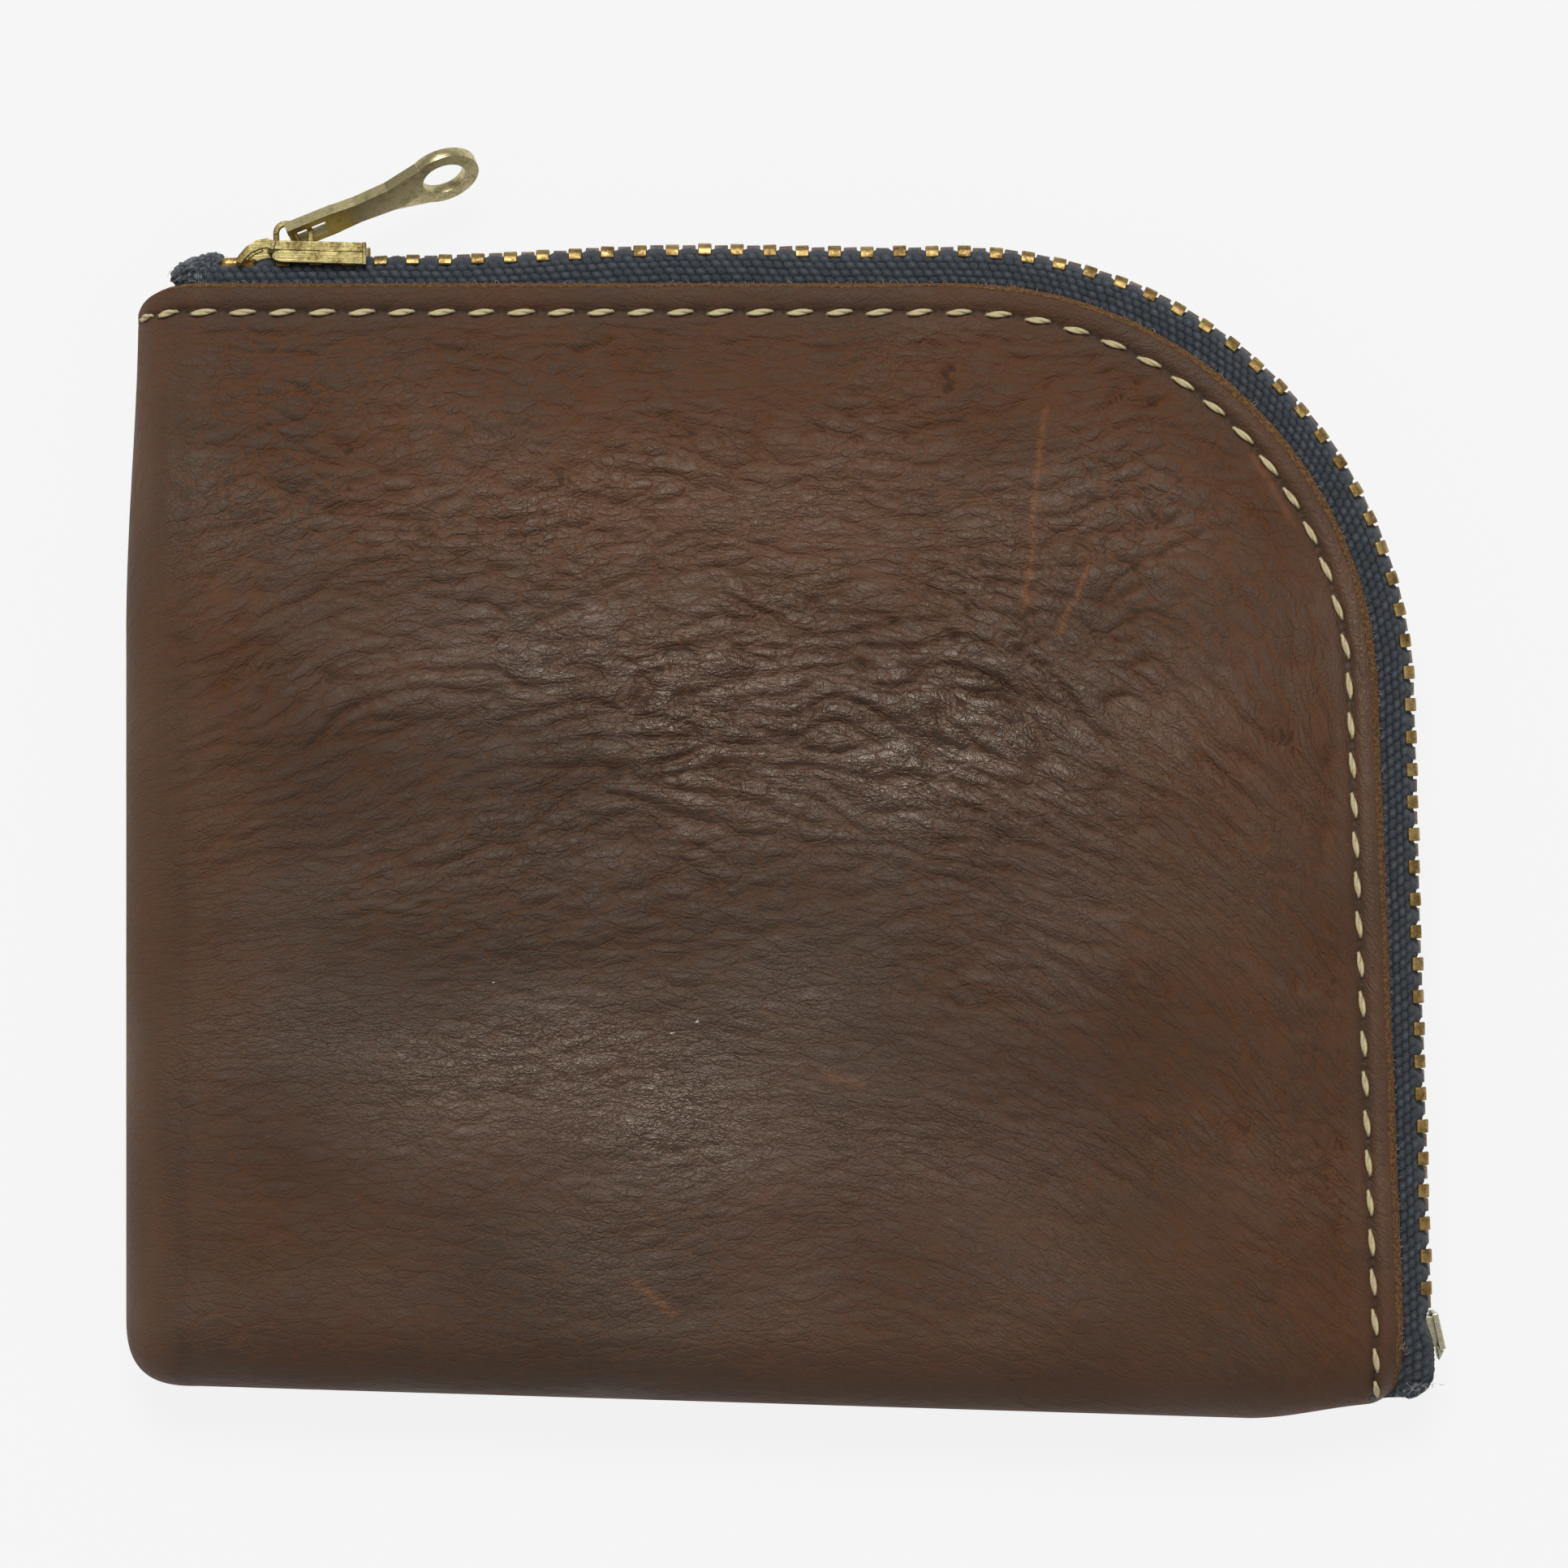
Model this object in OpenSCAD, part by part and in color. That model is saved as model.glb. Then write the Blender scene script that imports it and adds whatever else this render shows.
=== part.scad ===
// Zippered leather pouch. It lies on its back panel, and the zip runs along the top edge,
// round one large corner and down the side. Front is up (+Z), the spine is at -X.

/* [Leather body] */
// Width from the spine to the side edge
body_w = 109; // [100:1:118]
// Height from the bottom seam to the top edge
body_h = 96; // [90:1:104]
// Thickness of the closed pouch
body_t = 13; // [12.5:0.25:14]
// Thickness of the hide
hide_t = 1.5; // [1.2:0.1:1.6]
// Radius of the corner that the zip goes round
corner_r = 36.5; // [34:0.5:40]
// Lean of the side edge away from square, in degrees
side_lean = 2.3; // [0:0.1:3]
// Lean of the bottom seam away from square, in degrees
bottom_lean = 1.75; // [0:0.05:2]

/* [Zip] */
// Distance from the hide's cut edge to the outer face of the teeth, at the corner
zip_out = 3.3; // [3.2:0.1:4]
// Distance from one tooth to the next on the same tape
tooth_pitch = 2.82; // [2.7:0.02:3]
// Length of a tooth along the chain
tooth_l = 1.45; // [1.2:0.05:1.5]
// Number of teeth on each tape
tooth_count = 62; // [50:1:62]
// Lean of the chain's top run, in degrees
chain_top_lean = 1.0; // [0:0.1:2]
// Lean of the chain's side run, in degrees
chain_side_lean = 1.6; // [0:0.1:2]
// Thickness of the woven tape
tape_t = 0.55; // [0.4:0.05:0.6]
// Width of each tape, from the teeth to its inner edge
tape_w = 12; // [10:0.5:13]

/* [Slider and pull] */
// Length of the slider
slider_l = 11; // [10:0.5:12]
// Distance from the pull's pivot to its tip
pull_l = 17.2; // [15:0.1:22]
// Thickness of the pull
pull_t = 0.95; // [0.8:0.05:1]
// Diameter of the hole in the pull
pull_hole_d = 3.9; // [3:0.1:4.2]
// Angle of the pull above the slider at rest, in degrees
pull_angle = 21; // [21:1:60]
// Roll of the loose pull about its own length, in degrees
pull_roll = 30; // [10:1:30]

/* [Stitching] */
// Distance from the hide's cut edge to the stitch line
stitch_in = 2.6; // [2.2:0.1:3.2]
// Distance from one stitch to the next
stitch_pitch = 3.45; // [3:0.05:4]
// Length of one stitch
stitch_l = 2.4; // [2:0.1:2.6]
// Diameter of the thread
thread_d = 0.56; // [0.4:0.02:0.7]

/* [Hidden] */
$fn = 48;
far = 300;

mid_z = body_t / 2;
edge_r = body_t / 2;
left_x = -body_w / 2;
top_y = body_h / 2;
corner = [body_w / 2 - corner_r, top_y - corner_r];
bottom_left = [left_x + edge_r, -top_y + edge_r];
side_l = corner[1] + top_y + 0.7;

// Rim of a panel where it meets the tape, and how far in it has risen to the flat
rim_under = 3.6;
rim_flat = 4;
rim_rise = 9;

// The mouth folds along the line x + y = fold_sum, at the level of the tape
fold_sum = 20.7;
fold_gap = 2.3;
tape_gap = 0.5;

// Zip chain, seen across its width: heights are measured from the middle of the pouch
chain_r = corner_r + zip_out;
chain_arc_l = chain_r * (90 + chain_top_lean - chain_side_lean) * PI / 180;
cord_r = 0.55;
cord_out = -1.15;
cord_z = 2;
tooth_half = 2.9;
tooth_deep = 2.3;
tooth_gap = 0.35;
tape_z = 3;
tape_top_l = 67.3;
tape_side_l = 61.4;
cord_top_l = 64.3;
cord_side_l = 58.5;
first_tooth = -57.98;
stop_l = 3.9;
stop_at = -61.7;
bottom_stop_l = 3.3;
fold_top = first_tooth + 3.5 * tooth_pitch;
fold_side = first_tooth + 60.5 * tooth_pitch;
bottom_stop_at = chain_arc_l + 55.8;

// Slider, in its own frame: x towards the closed chain, y out of the pouch, z across the chain
slider_at = -56.3;
plate_gap = 0.3;
plate_top = 0.75;
flange_in = 3.2;
flange_out = 4;
wedge_t = 0.5;
pivot = [-0.9, 2.1];
bail_w = 0.8;
bail_t = 0.5;
bail_in = 1.25;
bail_top = 2.85;

// Pull, in its own frame: x from the pivot to the tip, z through its thickness
bar_r = 0.4;
slot_w = 1.6;
slot_end = 3;
base_w = 3.1;
neck_w = 2.7;
paddle_r = 3.15;

// Points of the chain's outer face at a distance s from the start of its corner
function chain_heading(s) =
    s < 0 ? chain_top_lean
    : s < chain_arc_l ? chain_top_lean - s / chain_r * 180 / PI
    : chain_side_lean - 90;
function chain_radial(s) = chain_heading(s) + 90;
function chain_over(s) = s < 0 ? s : s > chain_arc_l ? s - chain_arc_l : 0;
function chain_point(s) =
    corner + chain_r * [cos(chain_radial(s)), sin(chain_radial(s))]
    + chain_over(s) * [cos(chain_heading(s)), sin(chain_heading(s))];
function on_flap(p, gap) = p[0] + p[1] > fold_sum + gap * sqrt(2);

// Points of the stitch line, at a distance s from the start of the corner
stitch_r = corner_r - stitch_in;
stitch_arc_l = stitch_r * (90 - side_lean) * PI / 180;
function stitch_heading(s) =
    s < 0 ? 0 : s < stitch_arc_l ? -s / stitch_r * 180 / PI : side_lean - 90;
function stitch_point(s) =
    corner + stitch_r * [cos(stitch_heading(s) + 90), sin(stitch_heading(s) + 90)]
    + (s < 0 ? s : s > stitch_arc_l ? s - stitch_arc_l : 0)
        * [cos(stitch_heading(s)), sin(stitch_heading(s))];

// Sweeps a section along the top edge, the corner and the side: its x is outwards, its y is up
module along_zip(r, top_l, side_l, lean_top, lean_side) {
    translate([corner[0], corner[1], 0]) {
        rotate([0, 0, 90 + lean_top]) translate([r, top_l, 0]) rotate([90, 0, 0])
            linear_extrude(top_l) children();
        rotate([0, 0, lean_side]) rotate_extrude(angle = 90 + lean_top - lean_side)
            translate([r, 0]) children();
        rotate([0, 0, lean_side]) translate([r, 0, 0]) rotate([90, 0, 0])
            linear_extrude(side_l) children();
    }
}

module along_chain(top_l, side_l) {
    along_zip(chain_r, top_l, side_l, chain_top_lean, chain_side_lean) children();
}

// Puts a child on the chain at distance s: x along the chain, y out of the pouch, z up
module on_chain(s) {
    p = chain_point(s);
    translate([p[0], p[1], mid_z]) rotate([0, 0, chain_heading(s)]) children();
}

// Extrudes a section drawn across the chain, its x outwards and its y up, along the chain
module across(l) {
    rotate([90, 0, 90]) linear_extrude(l, center = true) children();
}

// Keeps what is on the mouth's side of the fold line, or on the spine's side of it
module mouth_side(gap) {
    intersection() {
        children();
        rotate([0, 0, 45]) translate([fold_sum / sqrt(2) + gap, -far / 2, -far / 2]) cube(far);
    }
}

module spine_side() {
    difference() {
        children();
        rotate([0, 0, 45]) translate([fold_sum / sqrt(2), -far / 2, -far / 2]) cube(far);
    }
}

// The part of the chain that moves with the mouth, cut square between two teeth at each end
module chain_past_fold(gap) {
    intersection() {
        on_chain(fold_top) translate([gap, -far / 2, -far / 2]) cube(far);
        on_chain(fold_side) translate([-far - gap, -far / 2, -far / 2]) cube(far);
    }
}

module to_back() {
    translate([0, 0, body_t]) mirror([0, 0, 1]) children();
}

// Everything above the line where the bottom starts to turn under
module above_seam() {
    translate(bottom_left) rotate(-bottom_lean) translate([-far / 4, 0]) square(far);
}

// The flat of a panel on the spine's side of the zip's corner
module flat_plan() {
    over = 5;
    right = corner[0] + over;
    polygon([bottom_left, [bottom_left[0], corner[1] + over], [right, corner[1] + over],
        [right, bottom_left[1] - (right - bottom_left[0]) * tan(bottom_lean)]]);
}

// Panel across the zip, from the cut edge of the hide to the centre of the corner
module rim_section() {
    z = mid_z + rim_under;
    polygon([[0, z], [0, z + hide_t], [-rim_flat, z + hide_t], [-rim_rise, body_t],
        [-corner_r, body_t], [-corner_r, body_t - hide_t],
        [-rim_rise, body_t - hide_t], [-rim_flat - 0.3, z]]);
}

module quarter_ring() {
    intersection() {
        difference() {
            circle(edge_r);
            circle(edge_r - hide_t);
        }
        square(edge_r);
    }
}

// Front hide: flat, with its rim under the zip's tape
module front_hide() {
    translate([0, 0, body_t - hide_t]) linear_extrude(hide_t) flat_plan();
    intersection() {
        along_zip(corner_r, corner[0] - bottom_left[0], side_l, 0, side_lean) rim_section();
        linear_extrude(far) above_seam();
    }
}

// The spine and the bottom edge meet at the corner in a mitre
module mitre(side) {
    difference() {
        children();
        translate([bottom_left[0], bottom_left[1], -far / 2]) rotate([0, 0, 45])
            translate([-far / 2, side > 0 ? 0 : -far, 0]) cube(far);
    }
}

// Bottom edge of the hide, turned in at the seam
module bottom_fold() {
    turn_l = body_w / 2 + side_l * tan(side_lean) - left_x;
    seam_in = 5;
    mitre(1) translate([bottom_left[0], bottom_left[1], mid_z]) rotate([0, 0, -bottom_lean])
        translate([-edge_r - 0.5, 0, 0]) {
            rotate([90, 0, 90]) linear_extrude(turn_l + 0.5) mirror([1, 0]) quarter_ring();
            translate([edge_r, -edge_r + 0.4, 0]) cube([turn_l - edge_r, seam_in, hide_t]);
        }
}

module back_bottom_fold() {
    color("#55341c") to_back() bottom_fold();
}

module front_bottom_fold() {
    color("#5b381e") bottom_fold();
}

module back_panel() {
    color("#55341c") to_back() front_hide();
}

module front_panel() {
    color("#5b381e") spine_side() front_hide();
}

module mouth_flap() {
    color("#5b381e") mouth_side(fold_gap) front_hide();
}

module spine_fold() {
    color("#6b4524") mitre(-1) translate([bottom_left[0], top_y, mid_z]) rotate([90, 0, 0])
        linear_extrude(body_h) intersection() {
            difference() {
                circle(edge_r);
                circle(edge_r - hide_t);
            }
            translate([-edge_r, -edge_r]) square([edge_r, 2 * edge_r]);
        }
}

// Tape: it lies flat under the hide's rim and turns down into the teeth
module tape_flat() {
    along_chain(tape_top_l, tape_side_l)
        translate([-tape_w, mid_z + tape_z]) square([tape_w + cord_out + tape_t / 2, tape_t]);
}

module tape_edge() {
    along_chain(tape_top_l, tape_side_l)
        translate([cord_out - tape_t / 2, mid_z + cord_z + cord_r - 0.05])
            square([tape_t, tape_z - cord_z - cord_r + 0.05]);
}

module cord_strip() {
    along_chain(cord_top_l, cord_side_l) translate([cord_out, mid_z + cord_z]) circle(cord_r);
}

module back_tape() {
    color("#3c4450") to_back() {
        tape_flat();
        tape_edge();
    }
}

module front_tape() {
    color("#3c4450") {
        mouth_side(tape_gap) tape_flat();
        intersection() {
            tape_edge();
            chain_past_fold(0.25);
        }
    }
}

module front_tape_ends() {
    color("#3c4450") {
        spine_side() tape_flat();
        difference() {
            tape_edge();
            chain_past_fold(-0.25);
        }
    }
}

module back_tape_cord() {
    color("#333b46") to_back() cord_strip();
}

module front_tape_cord() {
    color("#333b46") intersection() {
        cord_strip();
        chain_past_fold(0.25);
    }
}

module front_cord_ends() {
    color("#333b46") difference() {
        cord_strip();
        chain_past_fold(-0.25);
    }
}

// The end of a tape, turned back on itself beside the slider
module tape_roll() {
    roll_r = 0.95;
    on_chain(stop_at - 3) translate([-4.6, -0.9, tape_z + tape_t + 0.1]) rotate([0, 0, 12])
        rotate([0, 90, 0]) cylinder(h = 5, r = roll_r);
}

module front_tape_fold() {
    color("#3c4450") tape_roll();
}

module back_tape_fold() {
    color("#3c4450") to_back() tape_roll();
}

module cord_and_tape_cut() {
    translate([cord_out, cord_z]) circle(cord_r);
    translate([cord_out - tape_t / 2, cord_z]) square([tape_t, tooth_half]);
}

// One tooth: two legs clamped on the cord, and a narrower head that reaches to the other tape
module tooth_section() {
    neck = 0.3;
    head_z = 1.05;
    difference() {
        union() {
            translate([-tooth_deep, head_z]) square([tooth_deep, tooth_half - head_z]);
            translate([-tooth_deep + neck, tooth_gap]) square([tooth_deep - 2 * neck, head_z]);
        }
        cord_and_tape_cut();
    }
}

module teeth(shift, flap) {
    for (i = [0 : tooth_count - 1]) {
        s = first_tooth + shift + i * tooth_pitch;
        if (flap == undef || on_flap(chain_point(s), 0) == flap)
            on_chain(s) across(tooth_l) tooth_section();
    }
}

module back_teeth() {
    color("#8a6a35") to_back() teeth(tooth_pitch / 2, undef);
}

module front_teeth() {
    color("#8a6a35") teeth(0, true);
}

module front_teeth_ends() {
    color("#8a6a35") teeth(0, false);
}

module top_stop() {
    on_chain(stop_at) across(stop_l) difference() {
        translate([-tooth_deep + 0.1, 1.1]) square([tooth_deep - 0.15, tooth_half - 1.1]);
        cord_and_tape_cut();
    }
}

module front_top_stop() {
    color("#9a7a3e") top_stop();
}

module back_top_stop() {
    color("#9a7a3e") to_back() top_stop();
}

// A plate across the outer face of both tapes, with a prong through each
module bottom_stop() {
    plate_w = 5.4;
    prong_z = 1.9;
    color("#b39a55") on_chain(bottom_stop_at) {
        translate([-bottom_stop_l / 2, 0.05, -plate_w / 2]) cube([bottom_stop_l, 0.6, plate_w]);
        for (z = [-prong_z, prong_z])
            translate([-bottom_stop_l / 2 + 0.6, -2.4, z - 0.3]) cube([bottom_stop_l - 1.2, 2.5, 0.6]);
    }
}

// Stitches of the row that holds the tape to the hide
module stitch() {
    rotate([0, 90, 0]) cylinder(h = stitch_l, d = thread_d, center = true, $fn = 16);
}

module stitch_row(flap) {
    z = mid_z + rim_under + hide_t + thread_d * 0.1;
    first = -ceil((corner[0] - left_x - edge_r) / stitch_pitch) + 1;
    last = floor((stitch_arc_l + side_l - 3) / stitch_pitch);
    for (i = [first : last]) {
        s = i * stitch_pitch;
        p = stitch_point(s);
        in_gap = on_flap(p, -0.8) && !on_flap(p, fold_gap + 0.9);
        if (flap == undef || (!in_gap && on_flap(p, 0) == flap))
            translate([p[0], p[1], z]) rotate([0, 0, stitch_heading(s)]) stitch();
    }
}

module back_stitching() {
    color("#d8c79a") to_back() stitch_row(undef);
}

module front_stitching() {
    color("#d8c79a") stitch_row(true);
}

module front_stitching_ends() {
    color("#d8c79a") stitch_row(false);
}

// Thread of the turned seam, on both faces of the two seam allowances inside the bottom
module bottom_seam_thread() {
    count = floor((body_w - edge_r - 6) / stitch_pitch);
    color("#d8c79a") translate([bottom_left[0], bottom_left[1], mid_z])
        rotate([0, 0, -bottom_lean]) for (i = [0 : count], side = [-1, 1])
            translate([3 + i * stitch_pitch, -edge_r + 3.4, side * (hide_t + thread_d * 0.1)]) stitch();
}

// Slider: an outer plate with side flanges, and an inner plate joined to it by a thin wedge
module slider_plan() {
    nose_r = 3.6;
    translate([-slider_l / 2 + nose_r, 0]) circle(nose_r);
    translate([-slider_l / 2 + nose_r, -nose_r]) square([slider_l - nose_r, 2 * nose_r]);
}

module slider_flange() {
    polygon([[-3, 0], [-2.5, -0.35], [slider_l / 2, -0.45], [slider_l / 2, 1.1],
        [-1.6, 1.75], [-2.7, 1.7], [-3.3, 0.8]]);
}

module slider_nose() {
    polygon([[-slider_l / 2, plate_gap - 0.05], [-slider_l / 2 + 0.15, 0.7], [-4.4, 1.35], [-3.4, 1.6],
        [-2.9, 1.35], [-2.6, plate_gap], [-3.6, plate_gap + 0.3], [-4.6, plate_gap]]);
}

module slider_body() {
    inner_w = 5.2;
    inner_y = -2.75;
    inner_t = 0.85;
    color("#93834a") on_chain(slider_at) {
        intersection() {
            translate([0, plate_gap, 0]) rotate([-90, 0, 0]) linear_extrude(3) slider_plan();
            union() {
                linear_extrude(2 * flange_out, center = true) slider_nose();
                translate([-slider_l / 2 + 1.6, plate_gap, -flange_out])
                    cube([slider_l - 1.6, plate_top - plate_gap, 2 * flange_out]);
            }
        }
        for (side = [0, 1]) mirror([0, 0, side]) {
            translate([0, 0, flange_in]) linear_extrude(flange_out - flange_in) slider_flange();
        }
        translate([-slider_l / 2 + 0.3, inner_y - inner_t, -wedge_t / 2])
            cube([3, plate_gap - inner_y + inner_t + 0.1, wedge_t]);
        translate([-slider_l / 2, inner_y - inner_t, -inner_w / 2])
            cube([slider_l, inner_t, inner_w]);
    }
}

// Strip bent into a loop on the slider, which the bar of the pull turns in
module pull_bail() {
    color("#9c8a4c") on_chain(slider_at) translate([pivot[0], 0, 0])
        linear_extrude(bail_w, center = true) difference() {
            union() {
                translate([-bail_in - bail_t, plate_top]) square([2 * (bail_in + bail_t), bail_top - plate_top - 0.6]);
                translate([-bail_in + 0.6, plate_top]) square([2 * bail_in - 1.2, bail_top + bail_t - plate_top]);
                for (x = [-1, 1]) translate([x * (bail_in - 0.6), bail_top - 0.6]) circle(0.6 + bail_t);
            }
            translate([-bail_in, plate_top - 1]) square([2 * bail_in, bail_top - plate_top + 0.4]);
            translate([-bail_in + 0.6, plate_top]) square([2 * bail_in - 1.2, bail_top - plate_top]);
            for (x = [-1, 1]) translate([x * (bail_in - 0.6), bail_top - 0.6]) circle(0.6);
        }
}

module pull_plan() {
    hole_x = pull_l - paddle_r;
    difference() {
        union() {
            translate([-bar_r, -base_w / 2]) square([slot_end + bar_r + 1, base_w]);
            polygon([[slot_end + 0.5, -base_w / 2], [slot_end + 0.5, base_w / 2], [slot_end + 3, neck_w / 2],
                [hole_x - 5, neck_w / 2 + 0.2], [hole_x - 1.9, paddle_r * 0.8],
                [hole_x - 1.9, -paddle_r * 0.8], [hole_x - 5, -neck_w / 2 - 0.2], [slot_end + 3, -neck_w / 2]]);
            translate([hole_x, 0]) circle(paddle_r);
        }
        translate([hole_x, 0]) circle(d = pull_hole_d);
        translate([-1, -slot_w / 2]) square([slot_end + 1, slot_w]);
    }
}

module pull_tab() {
    color("#8f8148") on_chain(slider_at) translate([pivot[0], pivot[1], 0])
        rotate([0, 0, pull_angle]) rotate([90 - pull_roll, 0, 0]) {
            linear_extrude(pull_t, center = true) pull_plan();
            rotate([90, 0, 0]) cylinder(h = slot_w + 0.4, r = bar_r, center = true);
        }
}

back_panel();
back_bottom_fold();
front_bottom_fold();
spine_fold();
front_panel();
mouth_flap();
back_tape();
front_tape();
front_tape_ends();
back_tape_cord();
front_tape_cord();
front_cord_ends();
back_tape_fold();
front_tape_fold();
back_teeth();
front_teeth();
front_teeth_ends();
back_top_stop();
front_top_stop();
bottom_stop();
back_stitching();
front_stitching();
front_stitching_ends();
bottom_seam_thread();
slider_body();
pull_bail();
pull_tab();
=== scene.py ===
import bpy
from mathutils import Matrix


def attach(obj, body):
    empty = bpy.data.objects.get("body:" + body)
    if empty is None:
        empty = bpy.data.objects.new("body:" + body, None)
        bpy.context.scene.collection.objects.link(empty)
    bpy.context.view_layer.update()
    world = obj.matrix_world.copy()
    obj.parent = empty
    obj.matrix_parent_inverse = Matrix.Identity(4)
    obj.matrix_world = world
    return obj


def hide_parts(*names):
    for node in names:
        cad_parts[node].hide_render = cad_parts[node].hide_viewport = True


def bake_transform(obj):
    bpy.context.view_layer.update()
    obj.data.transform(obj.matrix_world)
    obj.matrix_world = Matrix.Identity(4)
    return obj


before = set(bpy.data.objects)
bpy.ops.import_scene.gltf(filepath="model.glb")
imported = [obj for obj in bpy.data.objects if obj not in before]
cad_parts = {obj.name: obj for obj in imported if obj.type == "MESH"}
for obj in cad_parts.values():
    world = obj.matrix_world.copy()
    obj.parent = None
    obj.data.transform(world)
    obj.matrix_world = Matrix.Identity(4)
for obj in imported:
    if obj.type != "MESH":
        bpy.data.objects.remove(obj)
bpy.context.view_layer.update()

import math

import bpy
import numpy as np
from bpy.props import FloatProperty, FloatVectorProperty, IntProperty, PointerProperty
from mathutils import Vector

bl_info = {
    "name": "Zippered leather pouch",
    "version": (1, 0, 0),
    "blender": (4, 5, 0),
    "location": "3D View > Sidebar > Pouch",
    "description": "Builds the leather, zip, thread and metal of a zippered pouch round its CAD frame",
    "category": "Object",
}

# Sizes of the pouch, in millimetres
HALF = 6.5            # half the pouch's thickness, and the radius of its rolls
ROLL_X = -48.0        # where the spine starts to turn
ROLL_Y = -41.5        # where the bottom starts to turn, at the left
CX, CY = 18.0, 11.5   # centre of the round corner
HIDE_R = 36.5         # radius of the hide's cut edge round the corner
HIDE_T = 1.5          # thickness of the hide
RIM_Z = 5.05          # height of the hide at its stitched rim, above the middle
RIM_UNDER = 3.57      # height of its underside there
FOLD_SUM = 20.7       # the mouth folds where x + y is this
FOLD_WIDTH = 13.0     # how wide a strip of hide the fold takes
PITCH = 2.82          # from one tooth to the next on the same tape
FIRST_TOOTH = -57.98
TEETH = 62            # on each tape
SLIDER_AT = -56.3
STITCH_IN = 2.6       # from the cut edge to the stitches
STITCH_PITCH = 3.45
LEAN = 2.3            # lean of the hide's right side, in degrees


# ---------------------------------------------------------------- numbers

def mm(metres):
    """A panel length in the millimetres that the shapes are worked out in."""
    return metres * 1000


def smooth(a, b, x):
    """0 below a, 1 above b, and a soft step between."""
    t = np.clip((x - a) / (b - a), 0.0, 1.0)
    return t * t * (3 - 2 * t)


def scramble(x, y, seed):
    """A random number from 0 to 1 for each cell of a grid."""
    h = (x.astype(np.int64) * 374761393 + y.astype(np.int64) * 668265263 + seed * 974711) & 0xFFFFFFFF
    h = ((h ^ (h >> 13)) * 1274126177) & 0xFFFFFFFF
    return ((h ^ (h >> 16)) & 0xFFFFFF) / float(0x1000000)


def noise(x, y, seed=0):
    """Smooth noise from about -1 to 1, with cells one unit wide."""
    x, y = np.broadcast_arrays(np.asarray(x, float), np.asarray(y, float))
    xi, yi = np.floor(x), np.floor(y)
    fx, fy = x - xi, y - yi
    u, v = fx * fx * fx * (fx * (fx * 6 - 15) + 10), fy * fy * fy * (fy * (fy * 6 - 15) + 10)

    def corner(i, j):
        a = scramble(xi + i, yi + j, seed) * 2 * np.pi
        return np.cos(a) * (fx - i) + np.sin(a) * (fy - j)

    low = corner(0, 0) * (1 - u) + corner(1, 0) * u
    high = corner(0, 1) * (1 - u) + corner(1, 1) * u
    return (low * (1 - v) + high * v) * 1.6


def cells(x, y, seed, spread=0.85):
    """Distance to the border between the nearest cells of an uneven grid, and a random number a cell."""
    xi, yi = np.floor(x), np.floor(y)
    near = np.full(x.shape, 9.0)
    second = near.copy()
    label = np.zeros(x.shape)
    for i in (-1, 0, 1):
        for j in (-1, 0, 1):
            cx, cy = xi + i, yi + j
            px = cx + 0.5 + (scramble(cx, cy, seed) - 0.5) * spread
            py = cy + 0.5 + (scramble(cx, cy, seed + 1) - 0.5) * spread
            d = np.hypot(px - x, py - y)
            closer = d < near
            second = np.where(closer, near, np.minimum(second, d))
            label = np.where(closer, scramble(cx, cy, seed + 2), label)
            near = np.where(closer, d, near)
    return second - near, label


class Path:
    """The line along the top, round the corner and down the side; s is 0 where the corner starts."""

    def __init__(self, radius, top_lean, side_lean, bow=0.0):
        self.r, self.top, self.side, self.bow = radius, top_lean, side_lean, bow
        self.arc = radius * math.radians(90 + top_lean - side_lean)

    def at(self, s, out=0.0):
        s = np.asarray(s, float)
        inside = self.top - np.degrees(np.clip(s, 0, self.arc) / self.r)
        head = np.radians(np.where(s > self.arc, self.side - 90.0, inside))
        over = np.where(s < 0, s, np.where(s > self.arc, s - self.arc, 0.0))
        x = CX - (self.r + out) * np.sin(head) + over * np.cos(head)
        y = CY + (self.r + out) * np.cos(head) + over * np.sin(head)
        return x, y + self.bow * np.exp(-(((s + 24) / 13) ** 2)), head


CHAIN = Path(39.8, 1.0, 1.6, 0.6)
STITCHES = Path(HIDE_R - STITCH_IN, 0.0, LEAN)


def hinge_share(x, y):
    """How far each point has gone past the mouth's fold line, from 0 to 1."""
    t = np.clip(((x + y - FOLD_SUM) / math.sqrt(2)) / FOLD_WIDTH, 0, 1)
    return t * t * (3 - 2 * t)


# ---------------------------------------------------------------- meshes

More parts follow.
